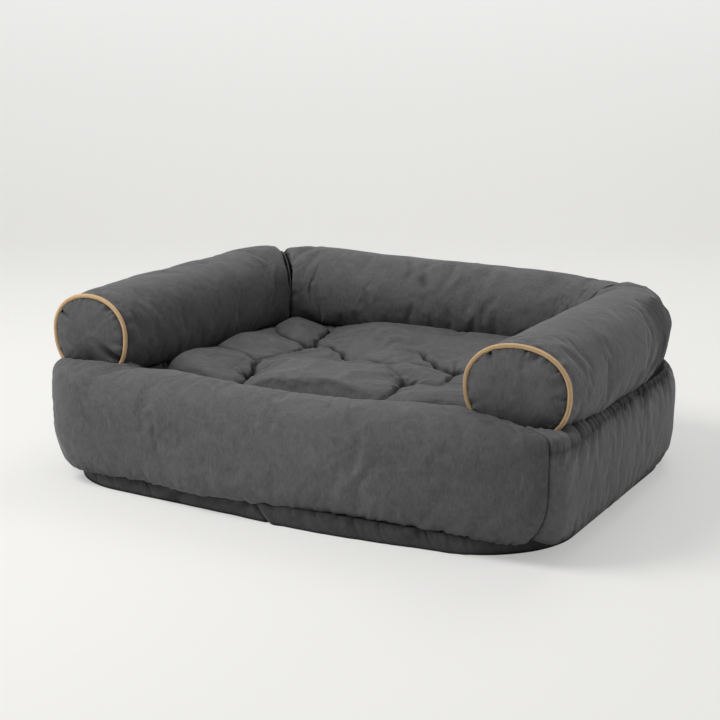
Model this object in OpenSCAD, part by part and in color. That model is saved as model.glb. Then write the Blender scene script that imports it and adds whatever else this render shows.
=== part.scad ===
// Dog sofa bed: a padded base with four walls, two round arms and a round back
// sewn on top of them, and a loose tufted seat cushion that lifts out.
// Millimetres, +Z up. The origin is on the floor, in the middle of the bed's
// outline. The open front faces -Y, and +X is to the right as seen from there.

/* [Overall] */
// Width across the side walls at their fullest line
bed_w = 920; // [860:10:1000]
// Depth from the front wall to the back wall at their fullest line
bed_d = 740; // [700:10:800]

/* [Base] */
// Height of the fabric strip round the bottom
base_h = 28; // [24:1:36]
// How far the strip stands in from the fullest line of the side walls
strip_inset = 30; // [24:1:32]
// How far the strip stands in from the fullest line of the front wall
strip_front_inset = 12; // [10:1:18]
// How far the strip stands in from the fullest line of the back wall
strip_back_inset = 20; // [18:1:24]
// Corner radius of the strip at the front
strip_corner_r = 140; // [120:5:150]
// Thickness of a sewn fabric panel in the base
panel_t = 2.5; // [2:0.5:3]

/* [Walls] */
// Height of the front wall above the floor
front_wall_h = 190; // [180:2:200]
// Height at which the arms and the back rest on the walls
arm_seat_h = 163; // [155:1:168]
// Height of the fullest line of every wall
belly_h = 100; // [92:2:108]
// Thickness of the front wall
front_wall_t = 130; // [120:5:140]
// Thickness of each side wall
side_wall_t = 158; // [150:2:166]
// Thickness of the back wall
back_wall_t = 163; // [155:2:170]
// Outer corner radius at the front
front_corner_r = 110; // [100:5:130]
// Outer corner radius at the back
rear_corner_r = 230; // [200:5:240]
// How far the front wall bows out in its middle
front_bow = 16; // [8:2:22]
// Thickness of a wall's cover with its quilted lining
cover_t = 5; // [4:0.5:6]

/* [Arms and back] */
// Width of an arm at its end cap
arm_w = 150; // [140:2:154]
// Height of an arm's top above its widest line
arm_rise = 66; // [60:1:70]
// Height of an arm's widest line above the walls it rests on
arm_drop = 70; // [64:1:74]
// Distance from the front wall's fullest line to an arm's end seam
cap_setback = 85; // [80:1:92]
// How far an end cap domes out past its seam
cap_dome = 11; // [6:1:12]
// Radius of the turn at the back corners, on the middle line of the tubes
turn_r = 140; // [120:5:150]
// Thickness of an arm's sleeve with its quilted lining
sleeve_t = 5; // [4:0.5:6]
// Diameter of the piping cord round each end cap
piping_d = 6.5; // [5:0.5:8]

/* [Seat cushion] */
// Height of the cushion's crown above the floor
seat_top_h = 187; // [180:1:192]
// Height of the seam round the cushion above the floor
seat_seam_h = 92; // [84:2:100]
// Gap between the cushion and the arms, the back and the front wall
seat_gap = 3; // [2:0.5:6]
// Thickness of the cushion's cover with its quilted lining
seat_cover_t = 5; // [4:0.5:6]
// Depth of a tuft below the crown
tuft_depth = 40; // [30:2:46]
// Depth of a crease between tufts
crease_depth = 15; // [8:1:20]
// Diameter of the cord that ties a tuft
tie_d = 2.5; // [2:0.5:3]
// Diameter of the felt washer under a tuft
washer_d = 24; // [18:1:30]

/* [Zips] */
// Length of the zip across the back of the base
base_zip_l = 460; // [300:20:500]
// Length of the zip across the back of the cushion
seat_zip_l = 440; // [300:20:460]
// Width of the two zip tapes together
zip_w = 22; // [20:0.5:23]
// Spacing of the zip's teeth
tooth_pitch = 5; // [4:1:8]
// Length of a slider along its zip
slider_l = 12; // [10:0.5:14]
// Length of a slider's pull from its hinge
pull_l = 19; // [16:0.5:20]

/* [Hidden] */
$fn = 32;

// Clearance between two sewn or stacked pieces
gap = 0.3;
// Overrun of a cut past the face it opens
overrun = 1;

charcoal = [0.20, 0.20, 0.215];
dark_charcoal = [0.14, 0.14, 0.15];
camel = [0.76, 0.58, 0.36];
wadding_white = [0.93, 0.93, 0.91];
foam_cream = [0.90, 0.86, 0.72];
felt_grey = [0.62, 0.62, 0.60];
zip_black = [0.08, 0.08, 0.09];
zip_metal = [0.55, 0.55, 0.57];

// Walls in turn, from the front one counter-clockwise
front_index = 0;
right_index = 1;
back_index = 2;
left_index = 3;

// Walls: the plan of the well inside them and of their fullest line outside
wall_foot_h = base_h + gap;
wall_below_h = 90;
wall_above_h = 72;
front_rise = front_wall_h - belly_h;
wall_roundness = 2.8;
well_corner_r = 30;
corner_draw_share = 0.03;
well_box = [
    -(bed_w / 2 - side_wall_t), bed_w / 2 - side_wall_t,
    -(bed_d / 2 - front_wall_t), bed_d / 2 - back_wall_t
];
belly_box = [-bed_w / 2, bed_w / 2, -bed_d / 2 + front_bow, bed_d / 2];
well_radii = [well_corner_r, well_corner_r, well_corner_r, well_corner_r];
belly_radii = [front_corner_r, front_corner_r, rear_corner_r, rear_corner_r];

// Strip round the foot, which stands in under the walls
foot_box = [
    belly_box[0] + strip_inset, belly_box[1] - strip_inset,
    belly_box[2] + strip_front_inset, belly_box[3] - strip_back_inset
];
foot_rear_r = rear_corner_r - strip_inset;
foot_radii = [strip_corner_r, strip_corner_r, foot_rear_r, foot_rear_r];

// Arms and back: the middle line of the tubes, which lean a little into the well
arm_lean = 6;
back_lean = 8.5;
arm_x = bed_w / 2 - side_wall_t / 2 - arm_lean;
bolster_y = bed_d / 2 - back_wall_t / 2 - back_lean;
cap_y = -bed_d / 2 + cap_setback;
arm_z = arm_seat_h + arm_drop;
arm_foot_h = arm_seat_h + gap;
piping_r = piping_d / 2;
sleeve_y = cap_y + piping_r + gap;
turn_x = arm_x - turn_r;
turn_y = bolster_y - turn_r;
top_roundness = 2.1;
foot_roundness = 2.3;
foot_reach_share = 1.14;
arm_swell_share = 0.035;
mitre_pinch_share = 0.08;
mitre_spread_share = 0.12;
back_sag_share = 0.07;
baffle_t = 2;

// Seat cushion
deck_top_h = base_h + panel_t;
seat_foot_h = deck_top_h + gap;
seat_half_w = min(well_box[1], arm_x - arm_w / 2 * (1 + arm_swell_share)) - seat_gap;
seat_front_y = well_box[2] + seat_gap;
seat_back_y = min(well_box[3], bolster_y - arm_w / 2) - seat_gap;
seat_half_d = (seat_back_y - seat_front_y) / 2;
seat_y = (seat_back_y + seat_front_y) / 2;
seat_border_h = seat_seam_h - 2 * panel_t - gap;
seat_corner_share = 0.08;
seat_edge_roundness = 6;
seat_edge_power = 0.36;
tray_inset = 16;
tray_back_inset = 29;
tray_corner_r = 40;
tuft_r = 26;
crease_r = 15;
washer_t = 2;
washer_recess = 7;
knot_r = 2;
knot_lift_share = 2.1;
tuft_shares = [[-0.52, -0.64], [-0.58, 0.38], [0.38, -0.47], [0.47, 0.1]];
crease_shares = [
    [-0.58, 0.38, -0.6, -0.3], [-0.6, -0.3, -0.52, -0.64], [-0.52, -0.64, -0.44, -1],
    [-0.58, 0.38, -0.58, 1], [-0.58, 0.38, -1, 0.42], [-0.58, 0.38, -0.1, 0.1],
    [-0.1, 0.1, 0.47, 0.1], [0.47, 0.1, 0.57, -0.4], [0.38, -0.47, 0.57, -0.4],
    [0.57, -0.4, 1, -0.46], [0.38, -0.47, 0.42, -1], [0.47, 0.1, 1, 0.18],
    [0.47, 0.1, -0.05, 1], [-0.52, -0.64, -1, -0.6]
];
seat_columns_share = [
    -1, -0.985, -0.94, -0.87, -0.78, -0.7, -0.64, -0.58, -0.52, -0.46, -0.36, -0.22, -0.05,
    0.12, 0.25, 0.32, 0.38, 0.43, 0.47, 0.52, 0.58, 0.7, 0.82, 0.92, 0.98, 1
];
seat_rows_share = [
    -1, -0.98, -0.92, -0.82, -0.72, -0.64, -0.56, -0.47, -0.4, -0.32, -0.2, -0.06, 0.02,
    0.1, 0.2, 0.3, 0.38, 0.47, 0.62, 0.8, 0.92, 0.98, 1
];
filling_columns_share = [-1, -0.9, -0.75, -0.58, -0.52, -0.2, 0.1, 0.38, 0.47, 0.65, 0.9, 1];
filling_rows_share = [-1, -0.9, -0.78, -0.64, -0.47, -0.15, 0.1, 0.38, 0.65, 0.9, 1];

// Zips
tape_t = 0.8;
tooth_t = 1.6;
tooth_w = 1.9;
tooth_reach = 2.8;
tooth_spine = 1.3;
tape_gap = 1.2;
slider_w = 10;
slider_h = 3.6;
cheek_t = 1.2;
cheek_h = 3.6;
cheek_l = 3.4;
pin_r = 0.8;
pin_clear = 0.3;
pin_rise = 1.9;
eye_r = 1.7;
eye_w = 3.2;
pull_w = 7;
pull_t = 1.2;
pull_hole_r = 1.6;
stop_l = 2.4;
zip_h = base_h / 2;
base_zip_y = bed_d / 2 - strip_back_inset + gap;
seat_zip_y = seat_back_y - tray_back_inset + gap;
seat_zip_h = (seat_foot_h + seat_seam_h) / 2;
zip_parking = slider_l / 2 + stop_l + gap;

// A power that keeps the sign of its base
function signed_power(v, e) = sign(v) * pow(abs(v), e);

function mix(a, b, share) = a + (b - a) * share;

// Middle of the corner arc that starts wall `wall` of a rounded box, front left first
function corner_centre(box, radii, wall) =
    let(k = wall % 4, r = radii[k])
    [
        (k == 0 || k == 3) ? box[0] + r : box[1] - r,
        (k == 0 || k == 1) ? box[2] + r : box[3] - r
    ];

function arc_points(centre, r, from, to, steps) =
    [for (i = [0:steps]) let(a = mix(from, to, i / steps)) centre + r * [cos(a), sin(a)]];

// Plan of one wall, from the mitre at its first corner to the mitre at its second
function wall_plan(box, radii, wall, arc_steps, edge_steps) =
    let(
        turn = 90 * wall,
        first = arc_points(
            corner_centre(box, radii, wall), radii[wall % 4], 225 + turn, 270 + turn, arc_steps),
        last = arc_points(
            corner_centre(box, radii, wall + 1), radii[(wall + 1) % 4], 270 + turn, 315 + turn,
            arc_steps),
        a = first[arc_steps],
        b = last[0]
    )
    concat(first, [for (i = [1:edge_steps - 1]) mix(a, b, i / edge_steps)], last);

// The front wall's plan bows out in its middle
function bowed(path, wall) =
    wall != front_index ? path :
    let(reach = path[len(path) - 1][0])
    [for (p = path) p - [0, front_bow * (1 - pow(p[0] / reach, 2))]];

function belly_plan(wall, arc_steps, edge_steps) =
    bowed(wall_plan(belly_box, belly_radii, wall, arc_steps, edge_steps), wall);

// Outline of the bed at its foot, set in from the outside of the strip
function foot_outline(inset) =
    let(
        box = [
            foot_box[0] + inset, foot_box[1] - inset, foot_box[2] + inset, foot_box[3] - inset
        ],
        radii = [for (r = foot_radii) r - inset]
    )
    [
        for (wall = [front_index:left_index])
        let(path = bowed(wall_plan(box, radii, wall, 4, 10), wall))
        each [for (i = [0:len(path) - 2]) path[i]]
    ];

// Half of the section of a soft body at angle t: reach across and height about its middle
function soft_point(t, reach, rise, drop, roundness) =
    [
        reach * signed_power(cos(t), 2 / roundness),
        (sin(t) > 0 ? rise : drop) * signed_power(sin(t), 2 / roundness)
    ];

function unit(v) = v / norm(v);

// One section of a wall between a point of the well's plan and one of the belly's plan
function wall_ring(inner, outer, rise, top_h, foot_h, draw, inset, sides) =
    let(
        across = unit(outer - inner),
        reach = norm(outer - inner) / 2 * (1 - draw) - inset,
        middle = (inner + outer) / 2
    )
    [
        for (k = [0:sides - 1])
        let(
            s = soft_point(
                360 * (k + 0.5) / sides, reach, rise - inset, wall_below_h - inset, wall_roundness),
            p = middle + across * s[0]
        )
        [p[0], p[1], min(top_h, max(foot_h, belly_h + s[1]))]
    ];

// All the sections of one wall. The end ones are drawn in and moved clear of the mitre
function wall_rings(wall, inset, arc_steps, edge_steps, sides) =
    let(
        inner = wall_plan(well_box, well_radii, wall, arc_steps, edge_steps),
        outer = belly_plan(wall, arc_steps, edge_steps),
        last = len(inner) - 1,
        along = [cos(90 * wall), sin(90 * wall)],
        top_h = wall == front_index ? front_wall_h : arm_seat_h,
        end_step = gap / 2 + 1.5 * inset
    )
    [
        for (i = [0:last])
        let(
            from_front = wall == right_index ? i : wall == left_index ? last - i : arc_steps,
            rise = wall == front_index ? front_rise :
                mix(front_rise, wall_above_h, min(1, from_front / arc_steps)),
            at_end = i == 0 || i == last,
            shift = (i == 0 ? end_step : i == last ? -end_step : 0) * along,
            draw = at_end ? corner_draw_share : 0
        )
        wall_ring(
            inner[i] + shift, outer[i] + shift, rise, top_h - inset, wall_foot_h + inset, draw,
            inset, sides)
    ];

// Stretch of surface between sections that hold the same number of points
function skin_faces(rings, sides) = concat(
    [for (j = [1:sides - 2]) [0, j + 1, j]],
    [
        for (i = [0:rings - 2], j = [0:sides - 1])
        each [
            [i * sides + j, (i + 1) * sides + (j + 1) % sides, (i + 1) * sides + j],
            [i * sides + j, i * sides + (j + 1) % sides, (i + 1) * sides + (j + 1) % sides]
        ]
    ],
    [
        for (j = [1:sides - 2])
        [(rings - 1) * sides, (rings - 1) * sides + j, (rings - 1) * sides + j + 1]
    ]
);

module skin(rings, flip = false) {
    sides = len(rings[0]);
    faces = skin_faces(len(rings), sides);
    polyhedron(
        points = [for (ring = rings) each ring],
        faces = flip ? [for (f = faces) [f[0], f[2], f[1]]] : faces);
}

// Room that an arm's front end takes out of the front wall
module arm_notches(inset) {
    notch_x = arm_x - arm_w / 2 - seat_gap - inset;
    notch_y = cap_y - cap_dome - 2 * gap - inset;
    for (side = [0, 1])
        mirror([side, 0, 0])
            translate([notch_x, notch_y, arm_seat_h - inset])
                cube([bed_w / 2, bed_d / 2, front_wall_h]);
}

module wall_body(wall, inset, arc_steps, edge_steps, sides) {
    difference() {
        skin(wall_rings(wall, inset, arc_steps, edge_steps, sides));
        if (wall == front_index) arm_notches(inset);
    }
}

module wall_cover(wall, edge_steps) {
    color(charcoal)
        difference() {
            wall_body(wall, 0, 4, edge_steps, 16);
            wall_body(wall, cover_t, 2, 3, 10);
        }
}

module wall_filling(wall) {
    color(wadding_white)
        wall_body(wall, cover_t + gap, 2, 3, 10);
}

module bottom_panel() {
    color(dark_charcoal)
        linear_extrude(panel_t)
            polygon(foot_outline(panel_t + gap));
}

module base_strip() {
    color(charcoal)
        linear_extrude(base_h)
            difference() {
                polygon(foot_outline(0));
                polygon(foot_outline(panel_t));
            }
}

module base_foam() {
    color(foam_cream)
        translate([0, 0, panel_t + gap])
            linear_extrude(base_h - panel_t - 2 * gap)
                polygon(foot_outline(panel_t + gap));
}

// Rounded rectangle in plan from its left, right, front and back places
module rounded_plan(box, r) {
    corners = [for (wall = [front_index:left_index]) corner_centre(box, [r, r, r, r], wall)];
    for (c = corners)
        translate(c)
            circle(r);
    translate([box[0] + r, box[2]])
        square([box[1] - box[0] - 2 * r, box[3] - box[2]]);
    translate([box[0], box[2] + r])
        square([box[1] - box[0], box[3] - box[2] - 2 * r]);
}

module deck_panel() {
    deck_box = [well_box[0] + gap, well_box[1] - gap, well_box[2] + gap, well_box[3] - gap];
    color(dark_charcoal)
        translate([0, 0, base_h])
            linear_extrude(panel_t)
                rounded_plan(deck_box, well_corner_r);
}

// One section of a padded tube. Its foot is flat where it rests on the walls
function tube_ring(place, heading, reach, rise, drop, inset, sides) =
    [
        for (k = [0:sides - 1])
        let(
            t = 360 * (k + 0.5) / sides,
            s = soft_point(
                t, reach - inset, rise - inset, drop - inset,
                sin(t) > 0 ? top_roundness : foot_roundness)
        )
        [
            place[0] + cos(heading) * s[0],
            place[1] + sin(heading) * s[0],
            max(arm_foot_h + inset, arm_z + s[1])
        ]
    ];

// Share of the full section that is left at the mitre, which draws the fabric in
function mitre_pinch(share) = mitre_pinch_share * exp(-share / mitre_spread_share);

// An arm at share s of its length, from the end cap to the mitre
function arm_swell(s) = 1 + arm_swell_share * sin(180 * s) - mitre_pinch(1 - s);

function arm_drop_at(s) = arm_drop * mix(1, foot_reach_share, min(1, 4 * s));

function back_swell(s) = 1 - mitre_pinch(s) - mitre_pinch(1 - s);

// The right arm's sections run straight back and then halfway round the turn
function arm_rings(inset, straight_steps, arc_steps, sides) =
    let(
        start_y = sleeve_y + (inset > sleeve_t ? gap : inset > 0 ? -overrun : 0),
        end_step = (baffle_t / 2 + gap + inset) * [1, -1] / sqrt(2),
        all = straight_steps + arc_steps
    )
    concat(
        [
            for (i = [0:straight_steps])
            let(s = i / all)
            tube_ring(
                [arm_x, mix(start_y, turn_y, i / straight_steps)], 0,
                arm_w / 2 * arm_swell(s), arm_rise * arm_swell(s), arm_drop_at(s), inset, sides)
        ],
        [
            for (i = [1:arc_steps])
            let(
                s = (straight_steps + i) / all,
                a = 45 * i / arc_steps,
                shift = i == arc_steps ? end_step : [0, 0]
            )
            tube_ring(
                [turn_x, turn_y] + turn_r * [cos(a), sin(a)] + shift, a,
                arm_w / 2 * arm_swell(s), arm_rise * arm_swell(s), arm_drop_at(s), inset, sides)
        ]
    );

// The back's sections run from the right mitre to the left one
function back_rings(inset, straight_steps, arc_steps, sides) =
    let(
        all = straight_steps + 2 * arc_steps,
        end_step = (baffle_t / 2 + gap + inset) / sqrt(2)
    )
    [
        for (i = [0:all])
        let(
            s = i / all,
            right_turn = i <= arc_steps,
            left_turn = i >= all - arc_steps,
            a = right_turn ? mix(45, 90, i / arc_steps) :
                left_turn ? mix(135, 90, (all - i) / arc_steps) : 90,
            centre = [
                right_turn ? turn_x : left_turn ? -turn_x :
                    mix(turn_x, -turn_x, (i - arc_steps) / straight_steps),
                turn_y
            ],
            shift = i == 0 ? [-end_step, end_step] : i == all ? [end_step, end_step] : [0, 0],
            rise = arm_rise * (back_swell(s) - back_sag_share * sin(180 * s))
        )
        tube_ring(
            centre + turn_r * [cos(a), sin(a)] + shift, a, arm_w / 2 * back_swell(s), rise,
            arm_drop * foot_reach_share, inset, sides)
    ];

module right_sleeve() {
    color(charcoal)
        difference() {
            skin(arm_rings(0, 9, 4, 18));
            skin(arm_rings(sleeve_t, 4, 2, 10));
        }
}

module right_filling() {
    color(wadding_white)
        skin(arm_rings(sleeve_t + gap, 4, 2, 10));
}

module back_bolster_sleeve() {
    color(charcoal)
        difference() {
            skin(back_rings(0, 8, 4, 18));
            skin(back_rings(sleeve_t, 4, 2, 10));
        }
}

module back_bolster_filling() {
    color(wadding_white)
        skin(back_rings(sleeve_t + gap, 4, 2, 10));
}

// The inner cloth wall between an arm's filling and the back's filling
module right_mitre_baffle() {
    place = [turn_x, turn_y] + turn_r * [cos(45), sin(45)];
    step = baffle_t / 2 * [-1, 1] / sqrt(2);
    swell = arm_swell(1);
    color(charcoal)
        skin([
            for (side = [-1, 1])
            tube_ring(
                place + side * step, 45, arm_w / 2 * swell, arm_rise * swell,
                arm_drop * foot_reach_share, 0, 18)
        ]);
}

// Domed end panel inside the ring of piping
module right_cap() {
    rim = piping_r + gap;
    dome_shares = [[0, 1], [0.55, 0.93], [0.86, 0.7], [1, 0.35], [1, 0.02]];
    back_ring = tube_ring(
        [arm_x, cap_y + piping_r], 0, arm_w / 2 - rim, arm_rise - rim, arm_drop - rim, 0, 20);
    color(charcoal)
        skin(
            concat(
                [back_ring],
                [
                    for (d = dome_shares)
                    tube_ring(
                        [arm_x, cap_y - cap_dome * d[0]], 0, (arm_w / 2 - rim) * d[1],
                        (arm_rise - rim) * d[1], (arm_drop - rim) * d[1], 0, 20)
                ]),
            true);
}

// Piping cord on the cap's edge, from behind the front wall up, over and down again
module right_piping() {
    side_count = 6;
    step_count = 34;
    first_angle = -42;
    last_angle = 222;
    path = [
        for (i = [0:step_count])
        let(t = mix(first_angle, last_angle, i / step_count))
        soft_point(
            t, arm_w / 2, arm_rise, arm_drop, sin(t) > 0 ? top_roundness : foot_roundness)
    ];
    color(camel)
        skin([
            for (i = [0:step_count])
            let(
                ahead = path[min(step_count, i + 1)] - path[max(0, i - 1)],
                out = unit([ahead[1], -ahead[0]])
            )
            [
                for (k = [0:side_count - 1])
                let(a = 360 * k / side_count)
                [
                    arm_x + path[i][0] + out[0] * piping_r * cos(a),
                    cap_y + piping_r * sin(a),
                    arm_z + path[i][1] + out[1] * piping_r * cos(a)
                ]
            ]
        ], true);
}

// Distance in plan from a point to a stretch between two points
function stretch_distance(p, a, b) =
    let(
        ab = b - a,
        t = max(0, min(1, ((p - a) * ab) / (ab * ab)))
    )
    norm(p - a - t * ab);

function seat_place(share, inset) =
    [share[0] * (seat_half_w - inset), seat_y + share[1] * (seat_half_d - inset)];

// How far the stitched tufts pull the top down at a place in plan
function tuft_dip(p) =
    let(to_tuft = min([for (s = tuft_shares) norm(p - seat_place(s, 0))]))
    (tuft_depth - crease_depth) * exp(-to_tuft / tuft_r);

// How far the creases between the tufts pull it down
function crease_dip(p) =
    let(
        to_crease = min([
            for (c = crease_shares)
            stretch_distance(p, seat_place([c[0], c[1]], 0), seat_place([c[2], c[3]], 0))
        ])
    )
    crease_depth * exp(-pow(to_crease / crease_r, 2));

// Share of the crown's height at a share of the cushion's width and depth
function seat_crown(u, v) =
    pow(
        (1 - pow(abs(u), seat_edge_roundness)) * (1 - pow(abs(v), seat_edge_roundness)),
        seat_edge_power);

// A point of the cushion's top, which rises from the seam to the crown. Under the
// cover the filling is smooth, at the depth of the creases
function seat_point(u, v, inset) =
    let(
        plan = seat_place(
            [u * (1 - seat_corner_share * pow(v, 4) * pow(abs(u), 3)),
                v * (1 - seat_corner_share * pow(u, 4) * pow(abs(v), 3))],
            inset),
        crown = seat_crown(u, v),
        crease = inset > 0 ? crease_depth : crease_dip(plan),
        height = seat_top_h - seat_seam_h - inset - tuft_dip(plan) - crease
    )
    [plan[0], plan[1], seat_seam_h + crown * height];

// Closed body under the cushion's top, down to `foot`
module seat_crown_body(columns, rows, inset, foot) {
    nx = len(columns);
    ny = len(rows);
    top = [for (v = rows, u = columns) seat_point(u, v, inset)];
    rim = concat(
        [for (i = [0:nx - 1]) i],
        [for (j = [1:ny - 1]) j * nx + nx - 1],
        [for (i = [nx - 2:-1:0]) (ny - 1) * nx + i],
        [for (j = [ny - 2:-1:1]) j * nx]
    );
    count = len(rim);
    base = nx * ny;
    points = concat(top, [for (k = rim) [top[k][0], top[k][1], foot]]);
    faces = concat(
        [
            for (j = [0:ny - 2], i = [0:nx - 2])
            each [
                [j * nx + i, (j + 1) * nx + i, (j + 1) * nx + i + 1],
                [j * nx + i, (j + 1) * nx + i + 1, j * nx + i + 1]
            ]
        ],
        [
            for (k = [0:count - 1])
            each [
                [rim[k], rim[(k + 1) % count], base + (k + 1) % count],
                [rim[k], base + (k + 1) % count, base + k]
            ]
        ],
        [[for (k = [0:count - 1]) base + k]]
    );
    polyhedron(points = points, faces = faces);
}

// Places every copy of its children on a tuft
module at_tufts() {
    for (s = tuft_shares)
        translate(seat_place(s, 0))
            children();
}

module tie_holes() {
    at_tufts()
        cylinder(r = tie_d / 2 + gap, h = seat_top_h);
}

module seat_top_panel() {
    color(charcoal)
        difference() {
            seat_crown_body(seat_columns_share, seat_rows_share, 0, seat_seam_h - panel_t);
            seat_crown_body(
                filling_columns_share, filling_rows_share, seat_cover_t,
                seat_seam_h - panel_t - overrun);
            tie_holes();
        }
}

// Left, right, front and back places of the cushion's lower tray
function tray_box(inset) = [
    -seat_half_w + tray_inset + inset, seat_half_w - tray_inset - inset,
    seat_front_y + tray_inset + inset, seat_back_y - tray_back_inset - inset
];

module tray_plan(inset) {
    rounded_plan(tray_box(inset), tray_corner_r - inset);
}

module seat_bottom_panel() {
    color(dark_charcoal)
        difference() {
            translate([0, 0, seat_foot_h])
                linear_extrude(seat_border_h - gap - seat_foot_h)
                    tray_plan(0);
            translate([0, 0, seat_foot_h + panel_t])
                linear_extrude(seat_seam_h)
                    tray_plan(panel_t);
        }
}

// Border that widens the tray to the cover's edge, just under the cover
module seat_border_panel() {
    border_box = [
        -seat_half_w + seat_cover_t, seat_half_w - seat_cover_t,
        seat_front_y + seat_cover_t, seat_back_y - seat_cover_t
    ];
    color(dark_charcoal)
        translate([0, 0, seat_border_h])
            linear_extrude(panel_t)
                difference() {
                    rounded_plan(border_box, tray_corner_r);
                    tray_plan(panel_t);
                }
}

module seat_filling() {
    color(wadding_white)
        difference() {
            union() {
                translate([0, 0, seat_foot_h + panel_t + gap])
                    linear_extrude(seat_seam_h - seat_foot_h - panel_t)
                        tray_plan(panel_t + gap);
                seat_crown_body(
                    filling_columns_share, filling_rows_share, seat_cover_t + gap,
                    seat_seam_h - panel_t);
            }
            tie_holes();
            at_tufts()
                translate([0, 0, seat_foot_h])
                    cylinder(d = washer_d + 2 * gap, h = panel_t + gap + washer_recess);
        }
}

// Underside of the filling where a washer bears on it
washer_top_h = seat_foot_h + panel_t + washer_recess;

module seat_tuft_ties() {
    knot_h = washer_top_h - washer_t - knot_r - 2 * gap;
    color(dark_charcoal)
        for (s = tuft_shares)
            translate(seat_place(s, 0)) {
                top_h = seat_point(s[0], s[1], 0)[2] + knot_lift_share * knot_r;
                translate([0, 0, knot_h])
                    cylinder(d = tie_d, h = top_h - knot_h);
                translate([0, 0, knot_h])
                    sphere(knot_r);
                translate([0, 0, top_h])
                    sphere(knot_r);
            }
}

module seat_tuft_washers() {
    color(felt_grey)
        at_tufts()
            translate([0, 0, washer_top_h - washer_t - gap])
                difference() {
                    cylinder(d = washer_d, h = washer_t);
                    translate([0, 0, -overrun])
                        cylinder(r = tie_d / 2 + gap, h = washer_t + 2 * overrun);
                }
}

// A zip lies in the plane of X and Z, with its middle at the origin and its face to +Y
module zip_tapes(l) {
    tape_w = (zip_w - tape_gap) / 2;
    color(zip_black)
        for (side = [-1, 1])
            translate([-l / 2, 0, side * (tape_w + tape_gap) / 2 - tape_w / 2])
                cube([l, tape_t, tape_w]);
}

// Comb of teeth that stands up from its spine, in plan
module tooth_comb(l, start) {
    count = floor((l - start) / tooth_pitch);
    translate([0, -tooth_spine])
        square([l, tooth_spine]);
    for (i = [0:count - 1])
        translate([start + i * tooth_pitch, -tooth_spine / 2])
            square([tooth_w, tooth_spine / 2 + tooth_reach]);
}

module zip_teeth(l) {
    chain_l = l - 2 * stop_l;
    color(zip_black)
        translate([-chain_l / 2, tape_t, 0])
            rotate([90, 0, 0])
                mirror([0, 0, 1])
                    linear_extrude(tooth_t) {
                        translate([0, -tooth_reach / 2 - gap])
                            tooth_comb(chain_l, gap);
                        mirror([0, 1])
                            translate([0, -tooth_reach / 2 - gap])
                                tooth_comb(chain_l, gap + tooth_pitch / 2);
                    }
}

module zip_stops(l) {
    stop_w = tooth_reach + 2 * tooth_spine;
    color(zip_metal)
        for (side = [-1, 1])
            translate([side * (l - stop_l) / 2, tape_t + tooth_t / 2, 0])
                cube([stop_l - gap, tooth_t, stop_w], center = true);
}

// Slider with the pin that its pull swings on, in the middle of the zip
module zip_slider() {
    channel_w = tooth_reach + 2 * tooth_spine + 4 * gap;
    slider_top = tape_t + slider_h;
    pin_y = slider_top + pin_rise;
    span = eye_w + 2 * gap;
    color(zip_metal) {
        difference() {
            translate([-slider_l / 2, tape_t + gap, -slider_w / 2])
                cube([slider_l, slider_h - gap, slider_w]);
            translate([-slider_l / 2 - overrun, 0, -channel_w / 2])
                cube([slider_l + 2 * overrun, tape_t + tooth_t + gap, channel_w]);
        }
        for (side = [-1, 1])
            translate([-cheek_l / 2, slider_top, side * (span + cheek_t) / 2 - cheek_t / 2])
                cube([cheek_l, cheek_h, cheek_t]);
        translate([0, pin_y, -span / 2 - cheek_t])
            cylinder(r = pin_r, h = span + 2 * cheek_t);
    }
}

// Pull that lies along the zip from the slider's pin
module zip_pull() {
    pin_y = tape_t + slider_h + pin_rise;
    tab_x = cheek_l;
    color(zip_metal)
        translate([0, pin_y, 0])
            difference() {
                union() {
                    translate([0, 0, -eye_w / 2])
                        cylinder(r = eye_r, h = eye_w);
                    translate([0, -pull_t / 2, -eye_w / 2])
                        cube([tab_x + pull_t, pull_t, eye_w]);
                    translate([tab_x, -pull_t / 2, -pull_w / 2])
                        cube([pull_l - tab_x - pull_w / 2, pull_t, pull_w]);
                    translate([pull_l - pull_w / 2, pull_t / 2, 0])
                        rotate([90, 0, 0])
                            cylinder(d = pull_w, h = pull_t);
                }
                translate([0, 0, -eye_w / 2 - overrun])
                    cylinder(r = pin_r + pin_clear, h = eye_w + 2 * overrun);
                translate([pull_l - pull_w / 2, pull_t / 2 + overrun, 0])
                    rotate([90, 0, 0])
                        cylinder(r = pull_hole_r, h = pull_t + 2 * overrun);
            }
}

module on_base_zip() {
    translate([0, base_zip_y, zip_h])
        children();
}

module on_seat_zip() {
    translate([0, seat_zip_y, seat_zip_h])
        children();
}

module parked(l) {
    translate([-l / 2 + zip_parking, 0, 0])
        children();
}

bottom_panel();
base_strip();
base_foam();
deck_panel();
wall_cover(front_index, 12);  // front_wall_cover
wall_cover(right_index, 6);  // right_wall_cover
wall_cover(back_index, 8);  // back_wall_cover
wall_cover(left_index, 6);  // left_wall_cover
wall_filling(front_index);  // front_wall_filling
wall_filling(right_index);  // right_wall_filling
wall_filling(back_index);  // back_wall_filling
wall_filling(left_index);  // left_wall_filling
mirror([1, 0, 0]) right_sleeve();  // left_arm_sleeve
right_sleeve();  // right_arm_sleeve
mirror([1, 0, 0]) right_cap();  // left_arm_cap
right_cap();  // right_arm_cap
mirror([1, 0, 0]) right_piping();  // left_arm_piping
right_piping();  // right_arm_piping
mirror([1, 0, 0]) right_filling();  // left_arm_filling
right_filling();  // right_arm_filling
back_bolster_sleeve();
back_bolster_filling();
mirror([1, 0, 0]) right_mitre_baffle();  // left_baffle
right_mitre_baffle();  // right_baffle
seat_top_panel();
seat_border_panel();
seat_bottom_panel();
seat_filling();
seat_tuft_ties();
seat_tuft_washers();
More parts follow.
